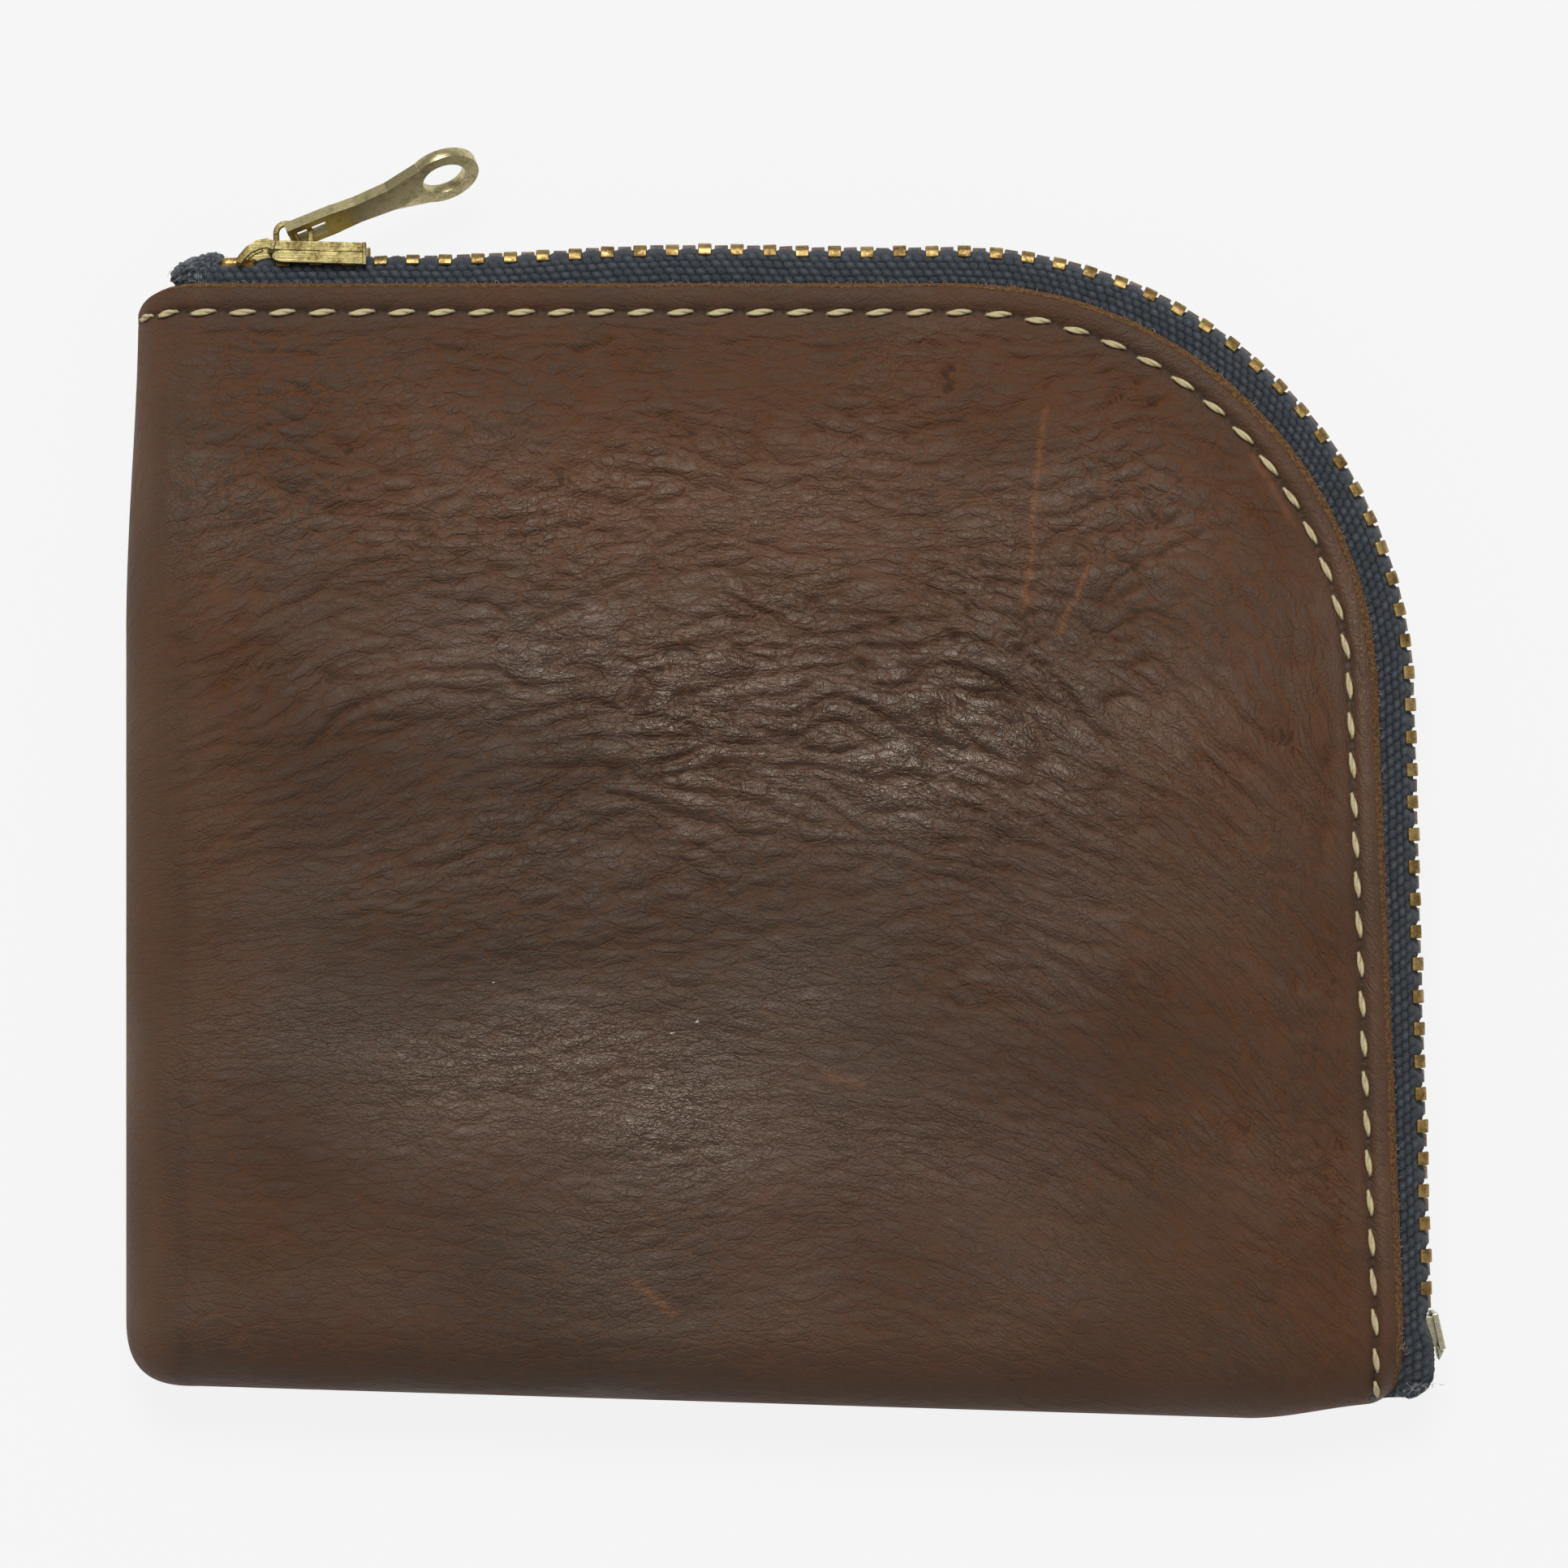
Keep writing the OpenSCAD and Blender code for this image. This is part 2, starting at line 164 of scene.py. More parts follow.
def new_mesh(name, verts, faces, material, attrs=None, smooth_faces=True, mats=None):
    """An object from points in millimetres and a list of face arrays, each with its own number of corners."""
    mesh = bpy.data.meshes.new(name)
    verts = np.asarray(verts, float) * 0.001
    mesh.vertices.add(len(verts))
    mesh.vertices.foreach_set("co", verts.astype(np.float32).ravel())
    faces = [np.asarray(f, np.int64) for f in faces if len(f)]
    loops = np.concatenate([f.ravel() for f in faces])
    sizes = np.concatenate([np.full(len(f), f.shape[1]) for f in faces])
    mesh.loops.add(len(loops))
    mesh.loops.foreach_set("vertex_index", loops.astype(np.int32))
    mesh.polygons.add(len(sizes))
    mesh.polygons.foreach_set("loop_start", np.concatenate([[0], np.cumsum(sizes)[:-1]]).astype(np.int32))
    for key, value in (attrs or {}).items():
        value = np.asarray(value, np.float32)
        kind, field = ("FLOAT_VECTOR", "vector") if value.ndim == 2 else ("FLOAT", "value")
        mesh.attributes.new(key, kind, "POINT").data.foreach_set(field, value.ravel())
    for m in (material if isinstance(material, (list, tuple)) else [material]):
        mesh.materials.append(m)
    if mats is not None:
        mesh.polygons.foreach_set("material_index", np.asarray(mats, np.int32))
    mesh.update(calc_edges=True)
    mesh.validate()
    mesh.polygons.foreach_set("use_smooth", np.full(len(mesh.polygons), smooth_faces))
    obj = bpy.data.objects.new(name, mesh)
    bpy.context.scene.collection.objects.link(obj)
    return obj


def grid_faces(index, flip=False):
    """Quads between neighbouring entries of a table of point numbers."""
    a, b, c, d = index[:-1, :-1], index[1:, :-1], index[1:, 1:], index[:-1, 1:]
    return np.stack([a, d, c, b] if flip else [a, b, c, d], -1).reshape(-1, 4)


def welded(verts, quads):
    """Merges points in the same place; quads that lose a corner become triangles."""
    _, first, inverse = np.unique(np.round(verts, 4), axis=0, return_index=True, return_inverse=True)
    q = inverse.reshape(-1)[quads]
    nxt = np.roll(q, -1, axis=1)
    same = q == nxt
    count = same.sum(1)
    full = q[count == 0]
    part, mask = q[count == 1], ~same[count == 1]
    tris = part[mask].reshape(-1, 3)
    return first, full, tris


def prism(outline, low, high):
    """A solid from an outline in the plane of the chain's length and its outward side, between two depths."""
    o = np.array(outline, float)
    n = len(o)
    a, b = np.column_stack([o, np.full(n, low)]), np.column_stack([o, np.full(n, high)])
    side = np.array([(i, (i + 1) % n, (i + 1) % n + n, i + n) for i in range(n)])
    return np.concatenate([a, b]), [side, np.arange(n)[::-1][None], (np.arange(n) + n)[None]]


def joined(parts):
    """Several solids as one list of points and faces."""
    verts, faces, start = [], [], 0
    for v, f in parts:
        verts.append(v)
        faces += [np.asarray(k) + start for k in f]
        start += len(v)
    return np.concatenate(verts), faces


def placed(verts, s, mirror=False):
    """Moves points from beside the chain at s into the pouch's own frame."""
    x, y, head = (float(k) for k in CHAIN.at(s))
    c, n = math.cos(head), math.sin(head)
    z = -verts[:, 2] if mirror else verts[:, 2]
    return np.stack([x + verts[:, 0] * c - verts[:, 1] * n,
                     y + verts[:, 0] * n + verts[:, 1] * c, HALF + z], 1)


def point_normals(verts, faces):
    n = np.zeros_like(verts)
    for f in faces:
        if not len(f):
            continue
        k = np.cross(verts[f[:, 2]] - verts[f[:, 0]], verts[f[:, -1]] - verts[f[:, 1]])
        for i in range(f.shape[1]):
            for axis in range(3):
                n[:, axis] += np.bincount(f[:, i], k[:, axis], len(verts))
    return n / np.maximum(np.linalg.norm(n, axis=1, keepdims=True), 1e-12)


def tubes(paths, radius, sides=6, taper=None):
    """Round tubes along paths, an array of (how many, points, 3); taper is the radius share along a path."""
    paths = np.asarray(paths, float)
    n, m, _ = paths.shape
    t = np.gradient(paths, axis=1)
    t /= np.maximum(np.linalg.norm(t, axis=2, keepdims=True), 1e-9)
    up = np.where(np.abs(t[..., 2:3]) > 0.9, [1.0, 0.0, 0.0], [0.0, 0.0, 1.0])
    a = np.cross(t, up)
    a /= np.maximum(np.linalg.norm(a, axis=2, keepdims=True), 1e-9)
    b = np.cross(t, a)
    ang = np.arange(sides) * 2 * np.pi / sides
    r = radius * (np.ones(m) if taper is None else np.asarray(taper))
    ring = (a[:, :, None] * np.cos(ang)[None, None, :, None]
            + b[:, :, None] * np.sin(ang)[None, None, :, None])
    verts = (paths[:, :, None] + ring * r[None, :, None, None]).reshape(-1, 3)
    idx = np.arange(n * m * sides).reshape(n, m, sides)
    nxt = np.roll(idx, -1, axis=2)
    quads = np.stack([idx[:, :-1], nxt[:, :-1], nxt[:, 1:], idx[:, 1:]], -1).reshape(-1, 4)
    caps = np.concatenate([idx[:, 0], idx[:, -1][:, ::-1]])
    return verts, [quads, caps]


def blended(obj):
    """Bakes the object's placement into its points; nothing bends it at the mouth's fold line."""
    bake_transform(obj)


def bevelled(obj, width, segments=2, angle=35):
    """Small rounded edges on a hard piece."""
    weld = obj.modifiers.new("weld", "WELD")
    weld.merge_threshold = 0.000004
    bevel = obj.modifiers.new("edges", "BEVEL")
    bevel.width = width * 0.001
    bevel.segments = segments
    bevel.limit_method = "ANGLE"
    bevel.angle_limit = math.radians(angle)
    bevel.harden_normals = True
    return obj


# ---------------------------------------------------------------- shaders

class Nodes:
    """Short ways to add and link shader nodes."""

    def __init__(self, tree):
        self.tree = tree

    def add(self, kind, inputs=None, **props):
        node = self.tree.nodes.new(kind)
        for k, v in props.items():
            setattr(node, k, v)
        for k, v in (inputs or {}).items():
            self.put(node.inputs[k], v)
        return node

    def put(self, socket, value):
        if isinstance(value, bpy.types.NodeSocket):
            self.tree.links.new(value, socket)
        elif isinstance(value, bpy.types.Node):
            self.tree.links.new(value.outputs[0], socket)
        else:
            socket.default_value = value

    def math(self, op, a, b=0.0, clamp=False):
        return self.add("ShaderNodeMath", {0: a, 1: b}, operation=op, use_clamp=clamp).outputs[0]

    def mix(self, fac, a, b, blend="MIX"):
        n = self.add("ShaderNodeMix", data_type="RGBA", blend_type=blend)
        for i, v in ((0, fac), (6, a), (7, b)):
            self.put(n.inputs[i], v)
        return n.outputs[2]

    def range(self, value, a, b, c=0.0, d=1.0, soft=True):
        return self.add("ShaderNodeMapRange", {0: value, 1: a, 2: b, 3: c, 4: d},
                        interpolation_type="SMOOTHSTEP" if soft else "LINEAR").outputs[0]

    def attr(self, name, vector=False):
        return self.add("ShaderNodeAttribute", attribute_name=name).outputs[1 if vector else 2]

    def noise(self, vector, scale, detail=2.0, rough=0.5, distort=0.0):
        return self.add("ShaderNodeTexNoise", {"Vector": vector, "Scale": scale, "Detail": detail,
                                               "Roughness": rough, "Distortion": distort}).outputs[0]

    def scaled(self, vector, x, y, z=1.0):
        return self.add("ShaderNodeVectorMath", {0: vector, 1: (x, y, z)}, operation="MULTIPLY").outputs[0]


def group(name, ins, outs):
    """An empty shader node group with the given sockets, and its inner nodes."""
    tree = bpy.data.node_groups.new(name, "ShaderNodeTree")
    for n, kind, default in ins:
        s = tree.interface.new_socket(n, in_out="INPUT", socket_type="NodeSocket" + kind)
        if default is not None:
            s.default_value = default
    for n, kind in outs:
        tree.interface.new_socket(n, in_out="OUTPUT", socket_type="NodeSocket" + kind)
    nodes = Nodes(tree)
    return tree, nodes, nodes.add("NodeGroupInput"), nodes.add("NodeGroupOutput")


def use(nodes, tree, **inputs):
    n = nodes.add("ShaderNodeGroup")
    n.node_tree = tree
    for k, v in inputs.items():
        nodes.put(n.inputs[k.replace("_", " ")], v)
    return n


def material(name):
    m = bpy.data.materials.new(name)
    m.use_nodes = True
    nodes = Nodes(m.node_tree)
    bsdf = m.node_tree.nodes["Principled BSDF"]
    return m, nodes, bsdf


def rgb(r, g, b):
    """A colour from its 0 to 255 values on screen."""
    def line(c):
        c /= 255.0
        return c / 12.92 if c <= 0.04045 else ((c + 0.055) / 1.055) ** 2.4
    return (line(r), line(g), line(b), 1.0)


def grain_group():
    """Fine leather grain: pores, and three sizes of torn crease cells that follow the hide's flow."""
    tree, n, i, o = group("Leather grain",
                          [("Flow", "Vector", None), ("Plan", "Vector", None),
                           ("Fold strength", "Float", 1.0)],
                          [("Height", "Float"), ("Crease", "Float")])
    flow, plan, strength = i.outputs[0], i.outputs[1], i.outputs[2]
    warp = n.add("ShaderNodeTexNoise", {"Vector": plan, "Scale": 0.35, "Detail": 2.0}).outputs[1]
    bent = n.add("ShaderNodeVectorMath", {0: flow, 1: n.scaled(warp, 1.6, 1.1, 0.0)},
                 operation="ADD").outputs[0]

    jag = n.add("ShaderNodeTexNoise",
                {"Vector": plan, "Scale": 1.9, "Detail": 3.0, "Roughness": 0.65}).outputs[1]
    torn = n.add("ShaderNodeVectorMath", {0: bent, 1: n.scaled(jag, 0.75, 0.55, 0.0)},
                 operation="ADD").outputs[0]

    def lines(x, y, width):
        cell = n.add("ShaderNodeTexVoronoi", {"Vector": n.scaled(torn, x, y), "Scale": 1.0},
                     feature="DISTANCE_TO_EDGE").outputs[0]
        return n.range(cell, 0.0, width)

    wide, mid, fine = lines(0.30, 0.92, 0.10), lines(0.75, 1.55, 0.13), lines(1.7, 3.2, 0.20)
    pores = n.add("ShaderNodeTexVoronoi", {"Vector": n.scaled(bent, 1.0, 1.35), "Scale": 2.1},
                  feature="DISTANCE_TO_EDGE").outputs[0]
    cells = n.range(pores, 0.0, 0.16)
    dust = n.noise(plan, 9.0, 3.0, 0.7)
    uneven = n.range(n.noise(plan, 0.22, 2.0), 0.35, 0.65, 0.06, 0.32)
    folds = n.math("ADD", n.math("MULTIPLY", wide, 0.36), n.math("MULTIPLY", mid, uneven))
    height = n.math("ADD", n.math("MULTIPLY", folds, strength), n.math("MULTIPLY", fine, 0.08))
    height = n.math("ADD", height, n.math("MULTIPLY", cells, 0.09))
    height = n.math("ADD", height, n.math("MULTIPLY", dust, 0.05))
    n.put(o.inputs[0], height)
    # Crease lines: leather_material turns them orange, and paints shade into the deepest of them
    dark = n.math("SUBTRACT", 1.0, n.math("MULTIPLY", wide, n.range(mid, 0.0, 1.0, 0.55, 1.0, False)))
    n.put(o.inputs[1], n.math("MULTIPLY", dark, strength, True))
    return tree


def wear_group():
    """Pull-up wear: rubbed lighter patches and orange scuffs."""
    tree, n, i, o = group("Pull-up wear", [("Plan", "Vector", None)],
                          [("Patch", "Float"), ("Scuff", "Float")])
    plan = i.outputs[0]
    n.put(o.inputs[0], n.noise(plan, 0.045, 3.0, 0.55, 0.4))
    scuff = n.noise(n.scaled(plan, 0.16, 0.55), 1.0, 5.0, 0.62, 0.6)
    n.put(o.inputs[1], n.range(scuff, 0.60, 0.74))
    return tree


def metal_group():
    """Aged brass: bright rubbed metal, brown tarnish, a hint of green, and fine scratches."""
    tree, n, i, o = group("Aged brass",
                          [("Bright", "Color", rgb(190, 170, 110)), ("Dull", "Color", rgb(96, 76, 40)),
                           ("Age", "Float", 0.5)],
                          [("Color", "Color"), ("Roughness", "Float"), ("Height", "Float")])
    mm = n.scaled(n.add("ShaderNodeTexCoord").outputs[3], 1000, 1000, 1000)
    big = n.noise(mm, 0.55, 4.0, 0.6, 0.3)
    spots = n.noise(mm, 3.5, 4.0, 0.7)
    age = n.math("ADD", n.math("MULTIPLY", big, 0.6), n.math("MULTIPLY", spots, 0.4))
    mask = n.range(n.math("ADD", age, n.math("SUBTRACT", i.outputs[2], 0.5)), 0.38, 0.64)
    color = n.mix(mask, i.outputs[0], i.outputs[1])
    color = n.mix(n.range(n.noise(mm, 1.3, 3.0), 0.56, 0.7, 0.0, 0.35), color, rgb(104, 104, 62))
    color = n.mix(n.range(n.noise(mm, 6.0, 2.0), 0.62, 0.72, 0.0, 0.6), color, rgb(62, 42, 20))
    n.put(o.inputs[0], color)
    rough = n.math("ADD", 0.24, n.math("MULTIPLY", spots, 0.14))
    n.put(o.inputs[1], n.math("ADD", n.math("MULTIPLY", mask, 0.22), rough))
    scratch = n.noise(n.scaled(mm, 0.6, 9.0, 9.0), 1.0, 3.0, 0.6)
    n.put(o.inputs[2], n.math("ADD", scratch, n.math("MULTIPLY", spots, 0.6)))
    return tree


def bump(nodes, height, distance, strength=1.0):
    return nodes.add("ShaderNodeBump",
                     {"Height": height, "Strength": strength, "Distance": distance}).outputs[0]


def leather_material(p):
    m, n, b = material("leather_grain_side")
    flow, plan = n.attr("flow", True), n.attr("plan", True)
    crease, tone_and_roll_light, raw, hole, folds, warm = (
        n.attr(k) for k in ("crease", "tone_and_roll_light", "raw", "hole", "folds", "warm"))
    polish_and_sheen = n.attr("polish_and_sheen")
    grain = use(n, bpy.data.node_groups["Leather grain"], Flow=flow, Plan=plan, Fold_strength=folds)
    wear = use(n, bpy.data.node_groups["Pull-up wear"], Plan=plan)
    body = n.mix(n.range(wear.outputs[0], 0.35, 0.65), (*p.dark, 1), (*p.brown, 1))
    # Paler colour round the spine's roll and beside it is a painted highlight; less of it on the bottom roll
    # is painted shade; the rest is random tone
    body = n.mix(tone_and_roll_light, body, (*p.light, 1))
    body = n.mix(n.math("MULTIPLY", warm, n.range(wear.outputs[0], 0.3, 0.7, 0.15, 0.55)),
                 body, (*p.orange, 1))
    deep = n.math("MAXIMUM", crease, n.math("MULTIPLY", grain.outputs[1], 0.66))
    halo = n.math("MULTIPLY", n.range(deep, 0.05, 0.6), n.math("ADD", 0.5, n.math("MULTIPLY", warm, 0.5)))
    body = n.mix(n.math("MULTIPLY", halo, p.crease), body, (*p.orange, 1))
    # Painted shade: near-black at the bottom of the deepest creases
    body = n.mix(n.range(deep, 0.7, 1.0, 0.0, 0.7), body, rgb(32, 18, 9))
    body = n.mix(n.math("MULTIPLY", wear.outputs[1], 0.4), body, (*p.orange, 1))
    body = n.mix(n.math("MULTIPLY", n.attr("scratch"), 0.6), body, rgb(140, 84, 40))
    fleck = n.math("ADD", n.attr("fleck"), n.math("MULTIPLY", n.noise(plan, 5.0, 2.0), 0.6))
    body = n.mix(n.range(fleck, 0.95, 1.1), body, rgb(210, 208, 204))
    # Painted sheen: a paler colour where the broad highlights and the rim's crown fall
    body = n.mix(n.math("MULTIPLY", polish_and_sheen, p.painted_sheen), body, rgb(152, 116, 92))
    fuzz = n.noise(n.scaled(plan, 3.0, 3.0), 1.0, 4.0, 0.8)
    cut = n.mix(n.range(fuzz, 0.35, 0.7), rgb(58, 34, 14), rgb(150, 104, 54))
    edge = n.range(n.math("ADD", raw, n.math("MULTIPLY", n.math("SUBTRACT", fuzz, 0.5), 0.5)), 0.35, 0.6)
    body = n.mix(edge, body, cut)
    # Painted shade: near-black in the stitch holes
    body = n.mix(hole, body, rgb(18, 10, 5))
    n.put(b.inputs["Base Color"], body)
    rough = n.math("ADD", p.roughness, n.math("MULTIPLY", n.math("SUBTRACT", wear.outputs[0], 0.5), 0.28))
    rough = n.math("ADD", rough, n.math("MULTIPLY", deep, 0.25))
    rough = n.math("ADD", rough, n.math("MULTIPLY", n.math("SUBTRACT", 1.0, polish_and_sheen), 0.42))
    n.put(b.inputs["Roughness"], n.math("ADD", rough, n.math("MULTIPLY", edge, 0.5), True))
    b.inputs["Specular IOR Level"].default_value = p.shine
    height = n.math("ADD", grain.outputs[0], n.math("MULTIPLY", n.math("MULTIPLY", fuzz, edge), 2.0))
    b.inputs["Specular Tint"].default_value = (1.0, 0.84, 0.70, 1)
    n.put(b.inputs["Normal"], bump(n, height, 0.00019, 0.9))
    return m


def flesh_material():
    m, n, b = material("leather_flesh_side")
    mm = n.scaled(n.add("ShaderNodeTexCoord").outputs[3], 1000, 1000, 1000)
    nap = n.noise(mm, 2.2, 6.0, 0.75)
    n.put(b.inputs["Base Color"], n.mix(nap, rgb(70, 44, 26), rgb(134, 92, 56)))
    b.inputs["Roughness"].default_value = 0.95
    n.put(b.inputs["Normal"], bump(n, nap, 0.0003, 0.7))
    return m


def tape_material(p):
    m, n, b = material("woven_tape")
    weave, plan = n.attr("weave"), n.attr("plan", True)
    strands = n.noise(n.scaled(plan, 14.0, 3.0), 1.0, 3.0, 0.7)
    color = n.mix(n.noise(plan, 1.4, 3.0, 0.6), (*p.tape_dark, 1), (*p.tape, 1))
    color = n.mix(n.range(strands, 0.4, 0.75, 0.0, 0.5), color, (*p.tape_light, 1))
    # Painted shade: near-black where the woven threads dip between their rows
    color = n.mix(n.range(weave, 0.62, 0.08), color, rgb(11, 13, 17))
    # Painted highlight on the tops of the woven threads
    color = n.mix(n.range(weave, 0.75, 1.0, 0.0, 0.5), color, (*p.tape_light, 1))
    color = n.mix(n.math("MULTIPLY", n.attr("fray"), n.range(strands, 0.5, 0.66)), color, rgb(176, 180, 184))
    n.put(b.inputs["Base Color"], color)
    b.inputs["Roughness"].default_value = 0.88
    b.inputs["Sheen Weight"].default_value = 0.25
    b.inputs["Sheen Roughness"].default_value = 0.5
    n.put(b.inputs["Normal"], bump(n, strands, 0.00012, 0.7))
    return m


def thread_material(p):
    m, n, b = material("waxed_thread")
    mm = n.scaled(n.add("ShaderNodeTexCoord").outputs[3], 1000, 1000, 1000)
    fibre = n.noise(mm, 7.0, 3.0, 0.7)
    color = n.mix(fibre, (*p.dark, 1), (*p.color, 1))
    color = n.mix(n.range(n.noise(mm, 1.2, 2.0), 0.5, 0.75, 0.0, 0.5), color, rgb(176, 150, 104))
    n.put(b.inputs["Base Color"], color)
    b.inputs["Roughness"].default_value = 0.62
    n.put(b.inputs["Normal"], bump(n, fibre, 0.0001, 0.6))
    return m


def metal_material(name, bright, dull, age, rough=0.0):
    m, n, b = material(name)
    g = use(n, bpy.data.node_groups["Aged brass"], Bright=bright, Dull=dull, Age=age)
    n.put(b.inputs["Base Color"], g.outputs[0])
    n.put(b.inputs["Roughness"], n.math("ADD", g.outputs[1], rough))
    b.inputs["Metallic"].default_value = 1.0
    n.put(b.inputs["Normal"], bump(n, g.outputs[2], 0.00003, 0.5))
    return m


# ---------------------------------------------------------------- settings

class PouchHide(bpy.types.PropertyGroup):
    """The leather"""
    step: FloatProperty(name="Mesh step", description="Distance between points of the hide",
                        default=0.00034, min=0.0002, max=0.002, precision=5, unit="LENGTH")
    fold_depth: FloatProperty(name="Fold depth", description="Depth of the hide's wrinkles",
                              default=0.00078, min=0, max=0.0012, precision=5, unit="LENGTH")
    swell: FloatProperty(name="Swell", description="Height of the hide's soft unevenness",
                         default=0.00055, min=0, max=0.001, precision=5, unit="LENGTH")
    edge: FloatProperty(name="Raw edge", description="Width of the raw cut edge that shows",
                        default=0.00075, min=0, max=0.0015, precision=5, unit="LENGTH")
    crease: FloatProperty(name="Crease colour", description="How strongly the creases turn orange",
                          default=0.85, min=0, max=1, subtype="FACTOR")
    roughness: FloatProperty(name="Roughness", description="Roughness of the finish",
                             default=0.34, min=0, max=1, subtype="FACTOR")
    shine: FloatProperty(name="Shine", description="Strength of the finish's reflection",
                         default=0.92, min=0, max=1, subtype="FACTOR")
    # Painted sheen: how much pale colour is mixed in where the broad highlights fall
    painted_sheen: FloatProperty(name="Wax bloom", description="How much pale wax shows where the hide is rubbed",
                         default=0.035, min=0, max=1, subtype="FACTOR")
    dark: FloatVectorProperty(name="Dark", description="Waxed dark brown",
                              default=rgb(42, 25, 15)[:3], subtype="COLOR")
    brown: FloatVectorProperty(name="Brown", description="Body colour",
                               default=rgb(56, 33, 19)[:3], subtype="COLOR")
    # Painted highlight: the colour mixed in where the hide turns round the spine, and less of it on the
    # bottom roll as painted shade
    light: FloatVectorProperty(name="Light", description="Colour where the hide is stretched",
                               default=rgb(84, 55, 31)[:3], subtype="COLOR")
    orange: FloatVectorProperty(name="Crease", description="Colour in the creases",
                                default=rgb(86, 48, 19)[:3], subtype="COLOR")


class PouchZip(bpy.types.PropertyGroup):
    """The zip's tapes and metal"""
    weave: FloatProperty(name="Weave", description="Height of the woven threads",
                         default=0.00024, min=0, max=0.0003, precision=5, unit="LENGTH")
    row: FloatProperty(name="Row", description="Width of a woven row",
                       default=0.00062, min=0.0003, max=0.0012, precision=5, unit="LENGTH")
    tape: FloatVectorProperty(name="Tape", description="Colour of the tape",
                              default=rgb(53, 60, 69)[:3], subtype="COLOR")
    tape_dark: FloatVectorProperty(name="Dark tape", description="Darker yarn",
                                   default=rgb(37, 43, 51)[:3], subtype="COLOR")
    tape_light: FloatVectorProperty(name="Light tape", description="Lit strands",
                                    default=rgb(88, 97, 108)[:3], subtype="COLOR")
    age: FloatProperty(name="Age", description="How tarnished the metal is",
                       default=0.5, min=0, max=1, subtype="FACTOR")


class PouchThread(bpy.types.PropertyGroup):
    """The stitching"""
    length: FloatProperty(name="Stitch", description="Length of a stitch that shows",
                          default=0.0026, min=0.001, max=0.0032, precision=5, unit="LENGTH")
    ply: FloatProperty(name="Ply", description="Radius of one ply of the thread",
                       default=0.00017, min=0.0001, max=0.0004, precision=5, unit="LENGTH")
    slant: FloatProperty(name="Slant", description="Slant of a stitch across its row",
                         default=math.radians(7), min=-0.5, max=0.5, subtype="ANGLE")
    color: FloatVectorProperty(name="Thread", description="Colour of the thread",
                               default=rgb(224, 212, 170)[:3], subtype="COLOR")
    dark: FloatVectorProperty(name="Thread shade", description="Colour between its fibres",
                              default=rgb(178, 160, 116)[:3], subtype="COLOR")


class PouchStage(bpy.types.PropertyGroup):
    """Floor, light and camera"""
    key: FloatProperty(name="Key light", description="Power of the large light",
                       default=11.22, min=0, max=100, unit="POWER")
    fill: FloatProperty(name="Fill light", description="Power of each side light",
                        default=0.35, min=0, max=100, unit="POWER")
    world: FloatProperty(name="Surroundings", description="Strength of the even light all round",
                         default=0.20, min=0, max=5)
    floor: FloatProperty(name="Floor glow",
                         description="Light the pale floor gives off, so no hard shadow shows",
                         default=0.865, min=0, max=2)
    seed: IntProperty(name="Seed", description="Seed of every random detail", default=11, min=0)


# ---------------------------------------------------------------- the hide

def rim_height(e):
    """Height of the hide's face above the pouch's middle, at a distance e in from the cut edge."""
    return RIM_Z + (HALF - RIM_Z) * smooth(3.0, 12.5, e) + 0.22 * np.exp(-((e - 1.45) / 0.75) ** 2)


def rim_profile(step, raw):
    """Points across the rim: distance in from the cut edge, height above the middle, and how raw each is."""
    e = np.concatenate([np.arange(HIDE_R, 6.0, -step), np.arange(6.0, raw + 0.05, -step * 0.62)])
    h, r = rim_height(e), np.zeros(len(e))
    top = float(rim_height(raw))
    share = np.array([1.0, 0.78, 0.55, 0.34, 0.16, 0.04, 0.0])
    e2 = share * raw
    cut_foot = RIM_UNDER + 0.05
    h2 = cut_foot + (top - cut_foot) * np.array([0.99, 0.9, 0.76, 0.6, 0.42, 0.2, 0.05])
    e3, h3 = np.array([0.25, 1.0, 2.5, 5.0]), np.array([RIM_UNDER + 0.01, RIM_UNDER, RIM_UNDER, RIM_UNDER])
    e = np.concatenate([e, e2, e3])
    h = np.concatenate([h, h2, h3])
    r = np.concatenate([r, np.full(len(e2), 1.0), np.full(4, 1.0)])
    return e, h, r, np.clip(rim_height(e) - h, 0, HIDE_T) * r


def seam_y(x):
    """Where the bottom starts to turn under: it leans down to the right and lifts at the end."""
    level = ROLL_Y - (x - ROLL_X) * math.tan(math.radians(1.75))
    return level + 1.65 * smooth(43.0, 56.0, x) + 1.9 * smooth(53.5, 57.2, x) ** 1.5


def top_left_drop(turn, e):
    """How far the hide's top edge sinks where it turns round the spine."""
    return 2.7 * (1 - np.cos(turn)) * np.exp(-((e / 2.4) ** 2))


def spine_lean(y, turn_length):
    """How far the spine draws in near its top."""
    return 1.05 * smooth(18, 46, y) * smooth(0.5, 9.0, turn_length)


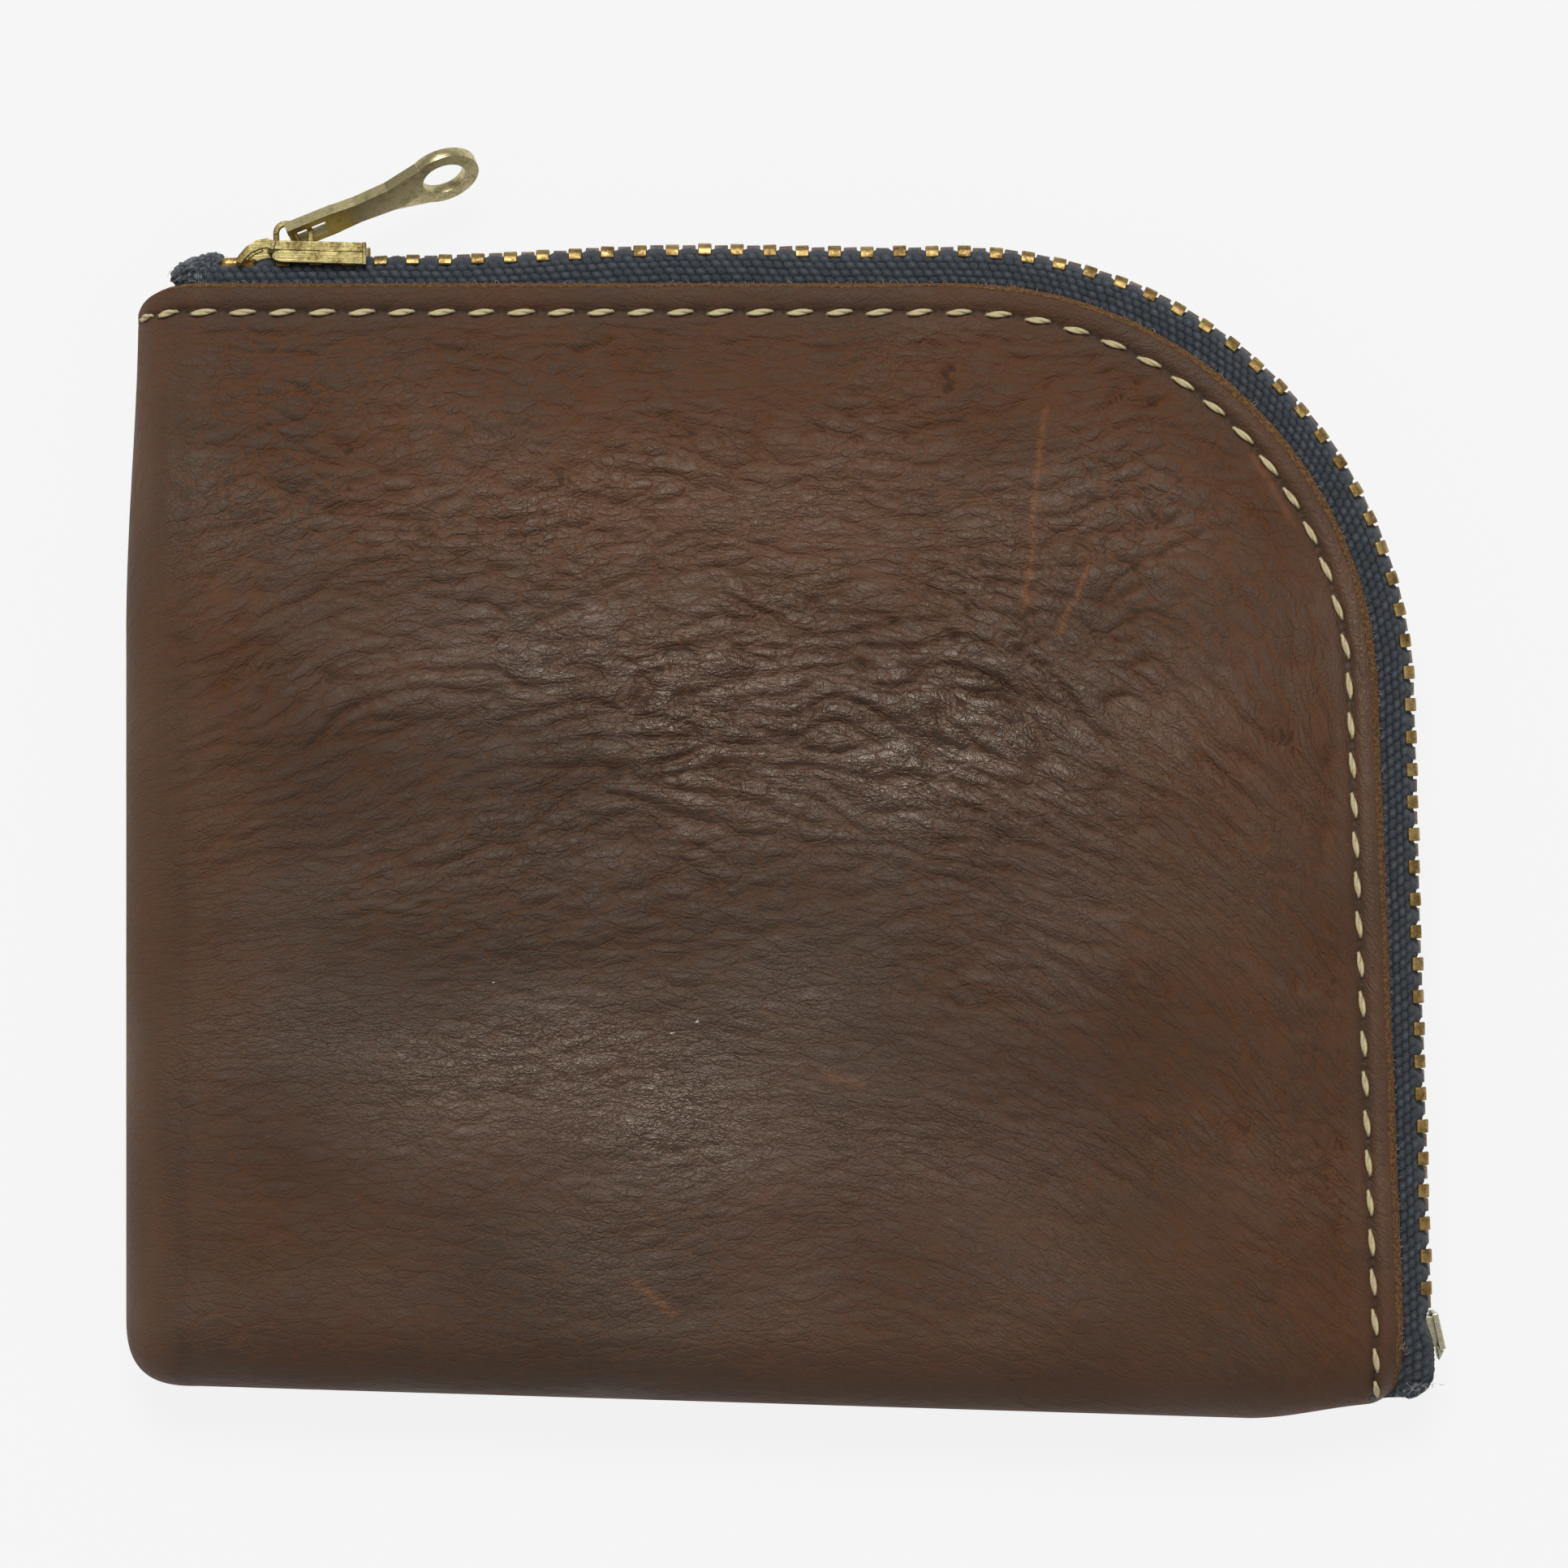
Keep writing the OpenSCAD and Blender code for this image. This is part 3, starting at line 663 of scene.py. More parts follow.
def hide_points(step, raw_edge):
    """The front half of the hide before it wrinkles: points, quads and what each point knows of its place."""
    lean = math.radians(LEAN)
    e, h, raw, deep = rim_profile(step, raw_edge)
    w = HIDE_R - e
    quarter = HALF * math.pi / 2
    na = int(math.ceil(quarter / step))
    a = np.linspace(quarter, 0, na + 1)
    x = np.linspace(ROLL_X, CX, int(math.ceil((CX - ROLL_X) / step)) + 1)
    v = np.linspace(0, 1, int(math.ceil((CY - ROLL_Y) / step)) + 1)
    b = np.linspace(0, quarter, na + 1)
    stitch_r = HIDE_R - STITCH_IN
    stitch_arc = stitch_r * (math.pi / 2 - lean)
    blocks, quads, start = [], [], 0

    def put(X, Y, Z, P, Q, E, S, RAW, A, B, flip):
        nonlocal start
        arrays = np.broadcast_arrays(X, Y, Z, P, Q, E, S, RAW, A, B)
        blocks.append(np.stack([q.ravel() for q in arrays], 1))
        idx = np.arange(arrays[0].size).reshape(arrays[0].shape) + start
        quads.append(grid_faces(idx, flip))
        start += arrays[0].size

    # top run: spine roll, then flat
    th = a[:, None] / HALF
    drop = top_left_drop(th, e[None])
    put(ROLL_X - (HALF - deep[None]) * np.sin(th), CY + w[None] - drop, HALF + h[None] * np.cos(th),
        ROLL_X - a[:, None], CY + w[None], e[None], ROLL_X - CX - a[:, None],
        raw[None], a[:, None], 0.0, True)
    put(x[:, None], CY + w[None], HALF + h[None],
        x[:, None], CY + w[None], e[None], x[:, None] - CX, raw[None], 0.0, 0.0, True)
    # corner
    al = np.linspace(math.pi / 2, lean, int(math.ceil(HIDE_R * (math.pi / 2 - lean) / step)) + 1)[:, None]
    px, py = CX + w[None] * np.cos(al), CY + w[None] * np.sin(al)
    put(px, py, HALF + h[None], px, py, e[None], stitch_r * (math.pi / 2 - al), raw[None], 0.0, 0.0, True)

    def columns(tx, ty, bx, by, hh, ee, rr, A, side, dd=0.0):
        """One block of columns below the corner's level: the spine's roll, the flat or the side."""
        X = tx[:, None] + (bx - tx)[:, None] * v[None]
        Y = ty[:, None] + (by - ty)[:, None] * v[None]
        d = np.hypot(X - tx[:, None], Y - ty[:, None])
        S = stitch_arc + d if side else np.full_like(X, -999.0)
        put(X, Y, HALF + hh[:, None], X if A is None else ROLL_X - A[:, None], Y, ee[:, None], S, rr[:, None],
            0.0 if A is None else A[:, None], 0.0, False)
        if A is None:
            tb = b[None] / HALF
            length = d[:, -1:]
            along = stitch_arc + length if side else -999.0
            put(bx[:, None], by[:, None] - (HALF - np.reshape(dd, (-1, 1))) * np.sin(tb),
                HALF + hh[:, None] * np.cos(tb), bx[:, None], by[:, None] - b[None],
                ee[:, None], along + b[None], rr[:, None], 0.0, b[None], False)

    one = np.ones(len(a))
    rolled = ROLL_X - HALF * np.sin(a / HALF)
    columns(rolled, CY * one, rolled, ROLL_Y * one, HALF * np.cos(a / HALF), 99 * one, 0 * one, a, False)

    def foot(tx, ty, angle):
        bx = tx.copy()
        for _ in range(6):
            bx = tx + (ty - seam_y(bx)) * np.tan(angle)
        return bx, seam_y(bx)

    bx, by = foot(x, np.full(len(x), CY), lean * (x - ROLL_X) / (CX - ROLL_X))
    columns(x, np.full(len(x), CY), bx, by, np.full(len(x), HALF), np.full(len(x), 99.0),
            np.zeros(len(x)), None, False)
    tx, ty = CX + w * math.cos(lean), CY + w * math.sin(lean)
    bx, by = foot(tx, ty, lean)
    columns(tx, ty, bx, by, h, e, raw, None, True, deep)
    # corner of the spine and the bottom
    u, t = np.meshgrid(a / quarter, b / quarter, indexing="ij")
    rho = np.maximum(u, t)
    psi = np.where(u >= t, (np.pi / 4) * t / np.maximum(u, 1e-9),
                   np.pi / 2 - (np.pi / 4) * u / np.maximum(t, 1e-9))
    psi = np.where(rho < 1e-9, 0.0, psi)
    cs, sn = np.cos(psi), np.sin(psi)
    norm = (cs ** 2.9 + sn ** 2.9) ** (1 / 2.9)
    ang = rho * np.pi / 2
    put(ROLL_X - HALF * np.sin(ang) * cs / norm, ROLL_Y - HALF * np.sin(ang) * sn / norm,
        HALF + HALF * np.cos(ang),
        ROLL_X - u * quarter, ROLL_Y - t * quarter, 99.0, -999.0, 0.0, u * quarter, t * quarter, False)
    data = np.concatenate(blocks)
    first, full, tris = welded(data[:, :3], np.concatenate(quads))
    data = data[first]
    verts = data[:, :3].copy()
    faces = [full, tris]
    up = point_normals(verts, faces)
    mid = data[:, 5] > 20
    if up[mid, 2].mean() < 0:
        faces = [f[:, ::-1] for f in faces]
    return verts, faces, {key: data[:, 3 + i] for i, key in enumerate(("p", "q", "e", "s", "raw", "a", "b"))}


def flow_of(p, q):
    """The hide's wrinkles run level, climb a little near the spine, and bend down towards the lower right."""
    left = -0.0045 * np.minimum(p + 8.0, 0) ** 2 * smooth(-22, 0, q) * (1 - smooth(24, 42, q))
    right = -0.0105 * np.maximum(p - 2.0, 0) ** 2 * (1 - smooth(-8, 44, q))
    return q - left - right + 1.5 * noise(p / 24, q / 17, 77)


def wrinkles(p, q, seed):
    """Height of the folds from 0 in a crease to 1, and how deep in a crease each point lies."""
    c = flow_of(p, q)
    wx, wy = noise(p / 8, q / 8, seed) * 1.6, noise(p / 5.5 + 31, q / 5.5, seed + 1) * 0.55
    broad = np.exp(-(((q - 9 + 0.1 * p) / 13) ** 2))
    n1 = noise((p + wx) / 8.4, (c + wy) / 1.95, seed + 2)
    n2 = noise((p + wx) / 4.6 + 3, (c + wy) / 1.3, seed + 3)
    n3 = noise((p + wx) / 17.0, (c + wy) / 4.6, seed + 4)
    border, label = cells((p - wx * 0.5) / 2.7, (c + wy * 0.8) / 1.15, seed + 5)
    r1 = np.sin(np.clip(np.abs(n1) / 0.55, 0, 1) * np.pi / 2) ** 0.62
    r2 = np.sin(np.clip(np.abs(n2) / 0.5, 0, 1) * np.pi / 2) ** 0.8
    r3 = np.clip(border / 0.6, 0, 1) ** 0.6
    height = ((0.50 + 0.45 * broad) * r1 + (0.55 - 0.25 * broad) * r2
              + 0.14 * r3 * (0.6 + 0.4 * label) + 0.32 * n3)
    crease = np.clip(1 - np.abs(n1) / 0.15, 0, 1) + 0.6 * np.clip(1 - np.abs(n2) / 0.12, 0, 1)
    crease = crease + 0.3 * np.clip(1 - border / 0.12, 0, 1)
    return height, np.clip(crease, 0, 1), c


def stitch_marks(s, e, length):
    """The groove along the stitches, and the holes at each stitch's ends."""
    across = np.exp(-(((e - STITCH_IN) / 0.5) ** 2))
    k = s / STITCH_PITCH
    near = np.abs(k - np.round(k)) * STITCH_PITCH
    hole = np.exp(-(((e - STITCH_IN) / 0.24) ** 2)) * np.exp(-(((near - length / 2 - 0.02) / 0.24) ** 2))
    valid = s > -900
    return across * valid, hole * valid


# Scratches as start, end and width, and pale flecks of dust
SCRATCHES = ((25.4, 37.0, 23.8, 20.0, 0.16), (29.4, 23.5, 26.6, 17.5, 0.12),
             (-10.2, -38.6, -6.6, -41.2, 0.22),
             (43.5, 33.0, 47.0, 27.0, 0.1), (6.0, -20.5, 9.5, -21.5, 0.12))
FLECKS = ((-24.0, -12.4), (-22.4, -12.7), (-7.9, -12.6), (-4.6, -16.0), (-6.8, -17.0), (-2.0, -17.2))


def marks(p, q, seed):
    """Scratches and pale flecks on the face."""
    scratch, fleck = np.zeros(len(p)), np.zeros(len(p))
    wob = 0.25 * noise(p / 2.0, q / 2.0, seed)
    for ax, ay, bx, by, width in SCRATCHES:
        d = np.array([bx - ax, by - ay])
        t = np.clip(((p - ax) * d[0] + (q - ay) * d[1]) / (d @ d), 0, 1)
        away = np.hypot(p - ax - t * d[0] + wob, q - ay - t * d[1])
        broken = 0.55 + 0.45 * noise(p / 0.8, q / 0.8, seed + 1)
        scratch = np.maximum(scratch, np.exp(-((away / (width + 0.12)) ** 2)) * broken)
    for fx, fy in FLECKS:
        fleck = np.maximum(fleck, np.exp(-((np.hypot((p - fx) * 0.6, q - fy) / 0.22) ** 2)))
    return np.clip(scratch, 0, 1), fleck


def build_hide(name, front, p, thread, seed, step):
    """One half of the hide with its wrinkles, groove and raw edge."""
    edge = mm(p.edge)
    verts, faces, at = hide_points(step, edge)
    nrm = point_normals(verts, faces)
    P, Q, e, s, a, b = at["p"], at["q"], at["e"], at["s"], at["a"], at["b"]
    stitched = (s > -900).astype(float)
    # the cut shows as a thin line along the top and as a wide one round the corner
    narrow = 0.42 + 0.42 * smooth(-8, 34, s) + 0.12 * noise(s / 7, 0.5, seed + 30)
    pulled = np.where(e < edge, narrow * e, e - (1 - narrow) * edge * smooth(2.1, edge, e))
    _, _, head = STITCHES.at(np.maximum(s, -80))
    shift = (e - pulled) * stitched
    verts[:, 0] -= np.sin(head) * shift
    verts[:, 1] += np.cos(head) * shift
    height, crease, c = wrinkles(P, Q, seed)
    calm = smooth(3.0, 5.0, e) * (1 - 0.72 * smooth(0.5, 4.0, a)) * (1 - 0.7 * smooth(1.5, 6.0, b))
    lower = 1 - smooth(-20, 6, Q + 0.8 * np.maximum(P - 5, 0) + 5 * noise(P / 22, Q / 22, seed + 9))
    patch = smooth(-0.45, 0.5, noise(P / 15, Q / 11, seed + 8))
    strong = calm * (1 - 0.60 * lower) * (0.62 + 0.5 * patch) * (1 - 0.5 * smooth(-44.0, -50.0, P))
    strong *= 0.72 + 0.5 * np.exp(-(((P - 6) / 24) ** 2 + ((Q - 14) / 15) ** 2))
    fade = smooth(HALF * math.pi / 2, HALF * math.pi / 2 - 1.5, np.maximum(a, b))
    groove, hole = stitch_marks(s, e, mm(thread.length))
    soft = noise(P / 26, Q / 17, seed + 5) * 0.5 + noise(P / 11, c / 6, seed + 6) * 0.4
    inner = smooth(4, 16, e) * (1 - smooth(0, 3, a)) * (1 - smooth(0, 4, b))
    # two low bulges, each falling away towards the mouth
    bulge = np.exp(-(((Q - 4) / 17) ** 2)) * np.exp(-(((P - 8) / 46) ** 2))
    bulge = bulge + 0.8 * np.exp(-(((Q + 33) / 11) ** 2)) * np.exp(-(((P + 8) / 34) ** 2))
    lift = (height - 0.95) * mm(p.fold_depth) * strong * fade
    lift += (soft * 0.75 + bulge * 1.1 - 0.35) * mm(p.swell) * inner
    lift -= (0.24 * groove + 0.22 * hole) * fade * stitched
    lift += 0.05 * noise(s / 2.2, e / 1.2, seed + 7) * smooth(4, 2.5, e) * (1 - at["raw"]) * fade
    lift -= 0.12 * np.exp(-(((P + 49.4) / 0.9) ** 2)) * smooth(46, 36, Q) * smooth(-44, -38, Q)
    tatter = noise(s / 0.55, 3.0, seed + 21) * 0.5 + noise(s / 1.9, 7.0, seed + 22) * 0.5
    verts = verts + nrm * lift[:, None]
    verts[:, :2] += nrm[:, :2] * (at["raw"] * smooth(0.8, 0.2, e) * tatter * 0.13)[:, None]
    verts[:, 0] += spine_lean(Q, a)
    # Tone: painted highlight where the hide turns round the spine and on the flat beside it, painted shade on
    # the bottom roll, and random tone besides
    tone_and_roll_light = 0.85 * smooth(0.6, 5.0, a) * (0.72 + 0.3 * noise(P / 3, Q / 14, seed + 12))
    tone_and_roll_light += 0.14 * smooth(-0.2, 0.7, noise(P / 20, Q / 14, seed + 13))
    tone_and_roll_light += (0.25 * smooth(-44, -50, P) * (1 - smooth(0.0, 1.5, a))
             - 0.22 * smooth(1.0, 6.0, b) * (1 - smooth(1.0, 4.0, a)))
    warm = smooth(12, 34, Q + 4 * noise(P / 14, Q / 9, seed + 14)) + 0.75 * smooth(26, 44, P)
    warm += 0.5 * smooth(-22, -38, Q) + 0.6 * smooth(-38, -47, P)
    # Glossier zones: two broad bands and the rim's crown; the same map also paints a pale sheen into the
    # colour there
    polish_and_sheen = np.exp(-(((Q - 13 + 0.1 * (P - 8)) / 17) ** 2)) * np.exp(-(((P - 6) / 40) ** 2))
    polish_and_sheen += 0.8 * np.exp(-(((Q + 24) / 13) ** 2 + ((P + 8) / 32) ** 2))
    polish_and_sheen += (0.35 * noise(P / 17, Q / 12, seed + 15)
               + 0.4 * np.exp(-(((e - 1.6) / 0.9) ** 2)) * smooth(0, 30, s))
    scratch, fleck = marks(P, Q, seed) if front else (0 * P, 0 * P)
    flat = np.zeros(len(P))
    attrs = {
        "flow": np.stack([P, c, flat], 1), "plan": np.stack([P, Q, flat + seed], 1),
        "crease": crease * np.clip(strong * 1.2, 0, 1), "tone_and_roll_light": np.clip(tone_and_roll_light, 0, 1),
        "raw": at["raw"] * stitched,
        "hole": np.clip(hole * 1.3, 0, 1) * (1 - at["raw"]) * stitched,
        "folds": np.clip(0.42 + strong * 0.7, 0.0, 1.0),
        "warm": np.clip(warm, 0, 1), "scratch": scratch, "fleck": fleck, "polish_and_sheen": np.clip(polish_and_sheen, 0, 1),
    }
    if not front:
        verts[:, 2] = 2 * HALF - verts[:, 2]
        faces = [f[:, ::-1] for f in faces]
    return new_mesh(name, verts, faces, bpy.data.materials["leather_grain_side"], attrs)


def build_lining(name, front):
    """The rough inner side of the hide."""
    verts, faces, at = hide_points(1.6, 0.8)
    nrm = point_normals(verts, faces)
    keep = 1 - at["raw"]
    verts = verts - nrm * (HIDE_T * keep)[:, None] * 0.98
    verts[:, 0] += spine_lean(at["q"], at["a"])
    faces = [f[:, ::-1] for f in faces]
    if not front:
        verts[:, 2] = 2 * HALF - verts[:, 2]
        faces = [f[:, ::-1] for f in faces]
    return new_mesh(name, verts, faces, bpy.data.materials["leather_flesh_side"])


def build_fuzz(name, front, seed):
    """Loose fibres along the raw cut edge."""
    rng = np.random.default_rng(seed)
    edge = Path(HIDE_R, 0.0, LEAN)
    n = 900
    s = rng.uniform(-66, edge.arc + 58, n)
    s = np.where(rng.random(n) < 0.45, s[rng.integers(0, n, n)] + rng.normal(0, 0.35, n), s)
    s = np.clip(s, -66, edge.arc + 58)
    out = rng.uniform(-0.55, 0.02, n)
    x, y, head = edge.at(s, out)
    z = HALF + 3.75 + (-out) * 1.6
    length = rng.uniform(0.15, 0.55, n)
    yaw = head + np.pi / 2 + rng.normal(0, 0.9, n)
    t = np.linspace(0, 1, 4)
    curl = rng.normal(0, 0.5, n)
    px = x[:, None] + length[:, None] * t * np.cos(yaw[:, None] + curl[:, None] * t)
    py = y[:, None] + length[:, None] * t * np.sin(yaw[:, None] + curl[:, None] * t)
    pz = z[:, None] + length[:, None] * t * rng.uniform(-0.3, 0.7, n)[:, None]
    if not front:
        pz = 2 * HALF - pz
    v, f = tubes(np.stack([px, py, pz], -1), 0.035, 3, [1, 0.9, 0.6, 0.2])
    obj = new_mesh(name, v, f, bpy.data.materials["leather_fuzz"])
    return obj, np.repeat(hinge_share(x, y), 12)


# ---------------------------------------------------------------- the zip

def tape_profile(fine):
    """The tape across its width: distance out from the teeth's outer face, and height above the middle."""
    pts = [(-12.0, 3.5), (-9.0, 3.5), (-6.0, 3.5), (-4.2, 3.5), (-3.2, 3.5), (-2.2, 3.47),
           (-1.55, 3.36), (-1.08, 3.08), (-0.86, 2.6), (-0.66, 2.25), (-0.52, 1.85), (-0.60, 1.45),
           (-0.95, 1.22), (-1.35, 1.25), (-1.66, 1.6), (-1.62, 2.1),
           (-1.45, 2.5), (-1.5, 2.85), (-1.8, 2.98), (-3.0, 3.0), (-12.0, 3.0), (-12.0, 3.5)]
    pts = np.array(pts)
    d = np.concatenate([[0], np.cumsum(np.hypot(*np.diff(pts, axis=0).T))])
    dense = np.linspace(0, d[-1], 1400)
    px, pz = np.interp(dense, d, pts[:, 0]), np.interp(dense, d, pts[:, 1])
    kernel = np.ones(25) / 25
    sx = np.convolve(np.pad(px, 12, mode="edge"), kernel, "valid")
    sz = np.convolve(np.pad(pz, 12, mode="edge"), kernel, "valid")
    shown = (dense > 6.2) & (dense < 14.0)
    weight = np.where(shown, 1 / fine, 1 / (fine * 6))
    c = np.concatenate([[0], np.cumsum((weight[1:] + weight[:-1]) / 2 * np.diff(dense))])
    k = np.linspace(0, c[-1], int(c[-1]) + 2)
    t = np.interp(k, c, dense)
    return np.interp(t, dense, sx), np.interp(t, dense, sz), t


def build_tape(name, front, p, fine, s0, s1, seed):
    """A woven tape with a cord in its edge, its bottom end rounded off and drawn in towards its twin."""
    wide = mm(p.row)
    out, z, t = tape_profile(fine)
    s = np.arange(s0, s1, fine * 1.25)
    S, T = np.meshgrid(s, t, indexing="ij")
    O, Z = np.broadcast_to(out, S.shape), np.broadcast_to(z, S.shape)
    round_off = np.clip((S - (s1 - 2.3)) / 2.3, 0, 1)
    swell = 0.55 * smooth(s1 - 6.8, s1 - 4.3, S) + 0.30 * smooth(-43, -50, S)
    O = O + (swell - 2.3 * (1 - np.sqrt(1 - round_off ** 2))) * smooth(-4.0, -0.5, O)
    x, y, _ = CHAIN.at(S, O)
    under = np.clip((seam_y(x) - y) / HALF, 0, 0.97) * (x > 0)
    Z = Z * np.sqrt(1 - under ** 2)
    verts = np.stack([x, y, HALF + Z], -1).reshape(-1, 3)
    idx = np.arange(len(verts)).reshape(S.shape)
    faces = [grid_faces(idx)]
    nrm = point_normals(verts, faces)
    centre = np.stack([x, y, np.full_like(x, HALF + 2.0)], -1).reshape(-1, 3)
    if ((verts - centre) * nrm)[:, 2].mean() < 0:
        faces = [f[:, ::-1] for f in faces]
        nrm = -nrm
    row = T / wide + 0.16 * noise(S / 2.3, T / 2, seed)
    r = np.floor(row)
    k = S / (wide * 1.45) + 0.5 * (r % 2) + 0.10 * noise(S / 1.1, T, seed + 1) + 0.3 * (row - r)
    fr, kk = row - r, k - np.floor(k)
    pillow = (1 - np.abs(2 * fr - 1) ** 2.2) ** 0.7 * (1 - np.abs(2 * kk - 1) ** 1.9) ** 0.8
    pillow *= 0.8 + 0.35 * scramble(np.floor(k), r, seed + 2)
    between = 0.5 + 0.5 * np.cos((S - FIRST_TOOTH - (0 if front else PITCH / 2)) / PITCH * 2 * np.pi + np.pi)
    edge = smooth(-1.3, -0.8, O - swell) * smooth(0.9, 1.5, Z) * smooth(3.4, 2.9, Z)
    ribs = 0.5 + 0.5 * np.cos((S * 0.5 + T * 1.6) / 0.42 * 2 * np.pi)
    tall = pillow * (1 - edge) + (0.3 + 0.7 * ribs) * edge * 0.8
    among = smooth(-66, -58, S) * smooth(s1 - 5.8, s1 - 7.3, S)
    lift = mm(p.weave) * tall + edge * (0.34 * between - 0.12) * among - 0.05
    lift += 0.12 * noise(S / 9, T / 3, seed + 3) * smooth(-8, -4, O)
    verts = verts + nrm * lift.reshape(-1, 1)
    if not front:
        verts[:, 2] = 2 * HALF - verts[:, 2]
        faces = [f[:, ::-1] for f in faces]
    ends = np.exp(-np.minimum(S - s0, s1 - S) / 0.8)
    attrs = {"weave": tall.ravel(), "fray": ends.ravel(),
             "plan": np.stack([S.ravel(), T.ravel(), np.zeros(S.size)], 1)}
    obj = new_mesh(name, verts, faces, bpy.data.materials["woven_tape"], attrs)
    return obj


def build_tape_knot(name, front, p, seed):
    """The top end of a tape, folded over on itself in a frayed lump."""
    u, v = np.meshgrid(np.linspace(0, 2 * np.pi, 150), np.linspace(0.02, np.pi - 0.02, 90), indexing="ij")
    def sq(w, k):
        return np.sign(w) * np.abs(w) ** k
    x = 2.35 * sq(np.cos(v), 0.75)
    y = 1.15 * sq(np.sin(v) * np.cos(u), 0.8) + 0.18 * x * (x > 0)
    z = 1.55 * sq(np.sin(v) * np.sin(u), 0.75)
    crumple = (0.22 * noise(x / 0.9, y / 0.7 + z * 0.6, seed)
               + 0.14 * noise(x / 0.4 + 5, y / 0.4 + z, seed + 1))
    fold = -0.32 * np.exp(-(((y + 0.15 + 0.12 * np.sin(x * 1.5)) / 0.16) ** 2)) * (z > 0)
    wide = mm(p.row)
    row, k = v * 2.35 / (wide * 0.8), u * 1.5 / (wide * 0.9)
    kk = k + 0.5 * (np.floor(row) % 2)
    pillow = (1 - np.abs(2 * (row % 1) - 1) ** 2.2) ** 0.6 * (1 - np.abs(2 * (kk % 1) - 1) ** 2.6) ** 0.55
    n = np.stack([x / 2.35, y / 1.15, z / 1.55], -1)
    n /= np.linalg.norm(n, axis=-1, keepdims=True)
    pts = np.stack([x, y, z], -1) + n * (crumple + fold + 0.11 * pillow)[..., None]
    turn = math.radians(14)
    c, sn = math.cos(turn), math.sin(turn)
    verts = np.stack([-48.1 + pts[..., 0] * c - pts[..., 1] * sn, 49.1 + pts[..., 0] * sn + pts[..., 1] * c,
                      HALF + 1.75 + pts[..., 2]], -1).reshape(-1, 3)
    idx = np.arange(len(verts)).reshape(u.shape)
    faces = [grid_faces(idx)]
    if not front:
        verts[:, 2] = 2 * HALF - verts[:, 2]
        verts[:, 1] -= 0.25
        faces = [f[:, ::-1] for f in faces]
    plan = np.stack([(u * 1.5).ravel(), (v * 2.3).ravel(), np.zeros(u.size)], 1)
    fray = np.clip(0.35 + noise(x / 0.5, y / 0.4, seed + 2).ravel() * 0.8, 0, 1)
    attrs = {"weave": pillow.ravel(), "fray": fray, "plan": plan}
    return new_mesh(name, verts, faces, bpy.data.materials["woven_tape"], attrs)


def build_fray(name, mat, seed):
    """Loose strands at the ends of the tapes."""
    rng = np.random.default_rng(seed)
    paths = []
    corner = CHAIN.at(CHAIN.arc + 60.4, -1.2)
    tufts = ((-49.3, 49.0, 0.9, 0.9, 46, math.pi * 0.8), (-47.2, 50.1, 1.4, 0.35, 30, math.pi * 0.55),
             (float(corner[0]), float(corner[1]), 1.1, 0.3, 22, -math.pi * 0.45))
    for cx, cy, sx, sy, count, lean in tufts:
        for _ in range(count):
            start = np.array([cx + rng.normal(0, sx * 0.5), cy + rng.normal(0, sy * 0.5),
                              HALF + rng.uniform(0.4, 3.0)])
            a, length, bend = lean + rng.normal(0, 0.9), rng.uniform(0.2, 0.7), rng.normal(0, 1.4)
            t = np.linspace(0, 1, 6)[:, None]
            ang = a + bend * t
            paths.append(start + length * t * np.concatenate(
                [np.cos(ang), np.sin(ang), 0.3 * rng.normal() + 0 * ang], 1))
    v, f = tubes(np.array(paths), 0.022, 4, [1, 1, 0.9, 0.8, 0.6, 0.3])
    return new_mesh(name, v, f, mat)


def extruded(outline, half):
    """A prism from an outline across the chain, half its length to each side."""
    o = np.array(outline, float)
    n = len(o)
    a = np.column_stack([np.full(n, -half), o])
    b = np.column_stack([np.full(n, half), o])
    sides = np.array([(i, (i + 1) % n, (i + 1) % n + n, i + n) for i in range(n)])
    caps = [np.arange(n)[::-1], np.arange(n) + n]
    return np.concatenate([a, b]), sides, caps


def tooth_shape():
    """One tooth seen across the chain: two rounded legs clamped on the cord, and a head past the middle."""
    return [(-1.12, 3.16), (-1.0, 3.36), (-0.55, 3.34), (-0.16, 3.06), (0.0, 2.5), (0.02, 1.6),
            (-0.10, 0.95), (-0.34, 0.35), (-0.42, -0.55), (-0.72, -0.82), (-1.58, -0.82), (-1.88, -0.55),
            (-1.96, 0.35), (-2.2, 0.95), (-2.3, 1.6), (-2.27, 2.45), (-2.10, 2.82), (-1.80, 2.94),
            (-1.52, 2.86), (-1.42, 2.62), (-1.52, 2.0), (-1.15, 1.4), (-0.78, 2.0), (-0.80, 2.75)]


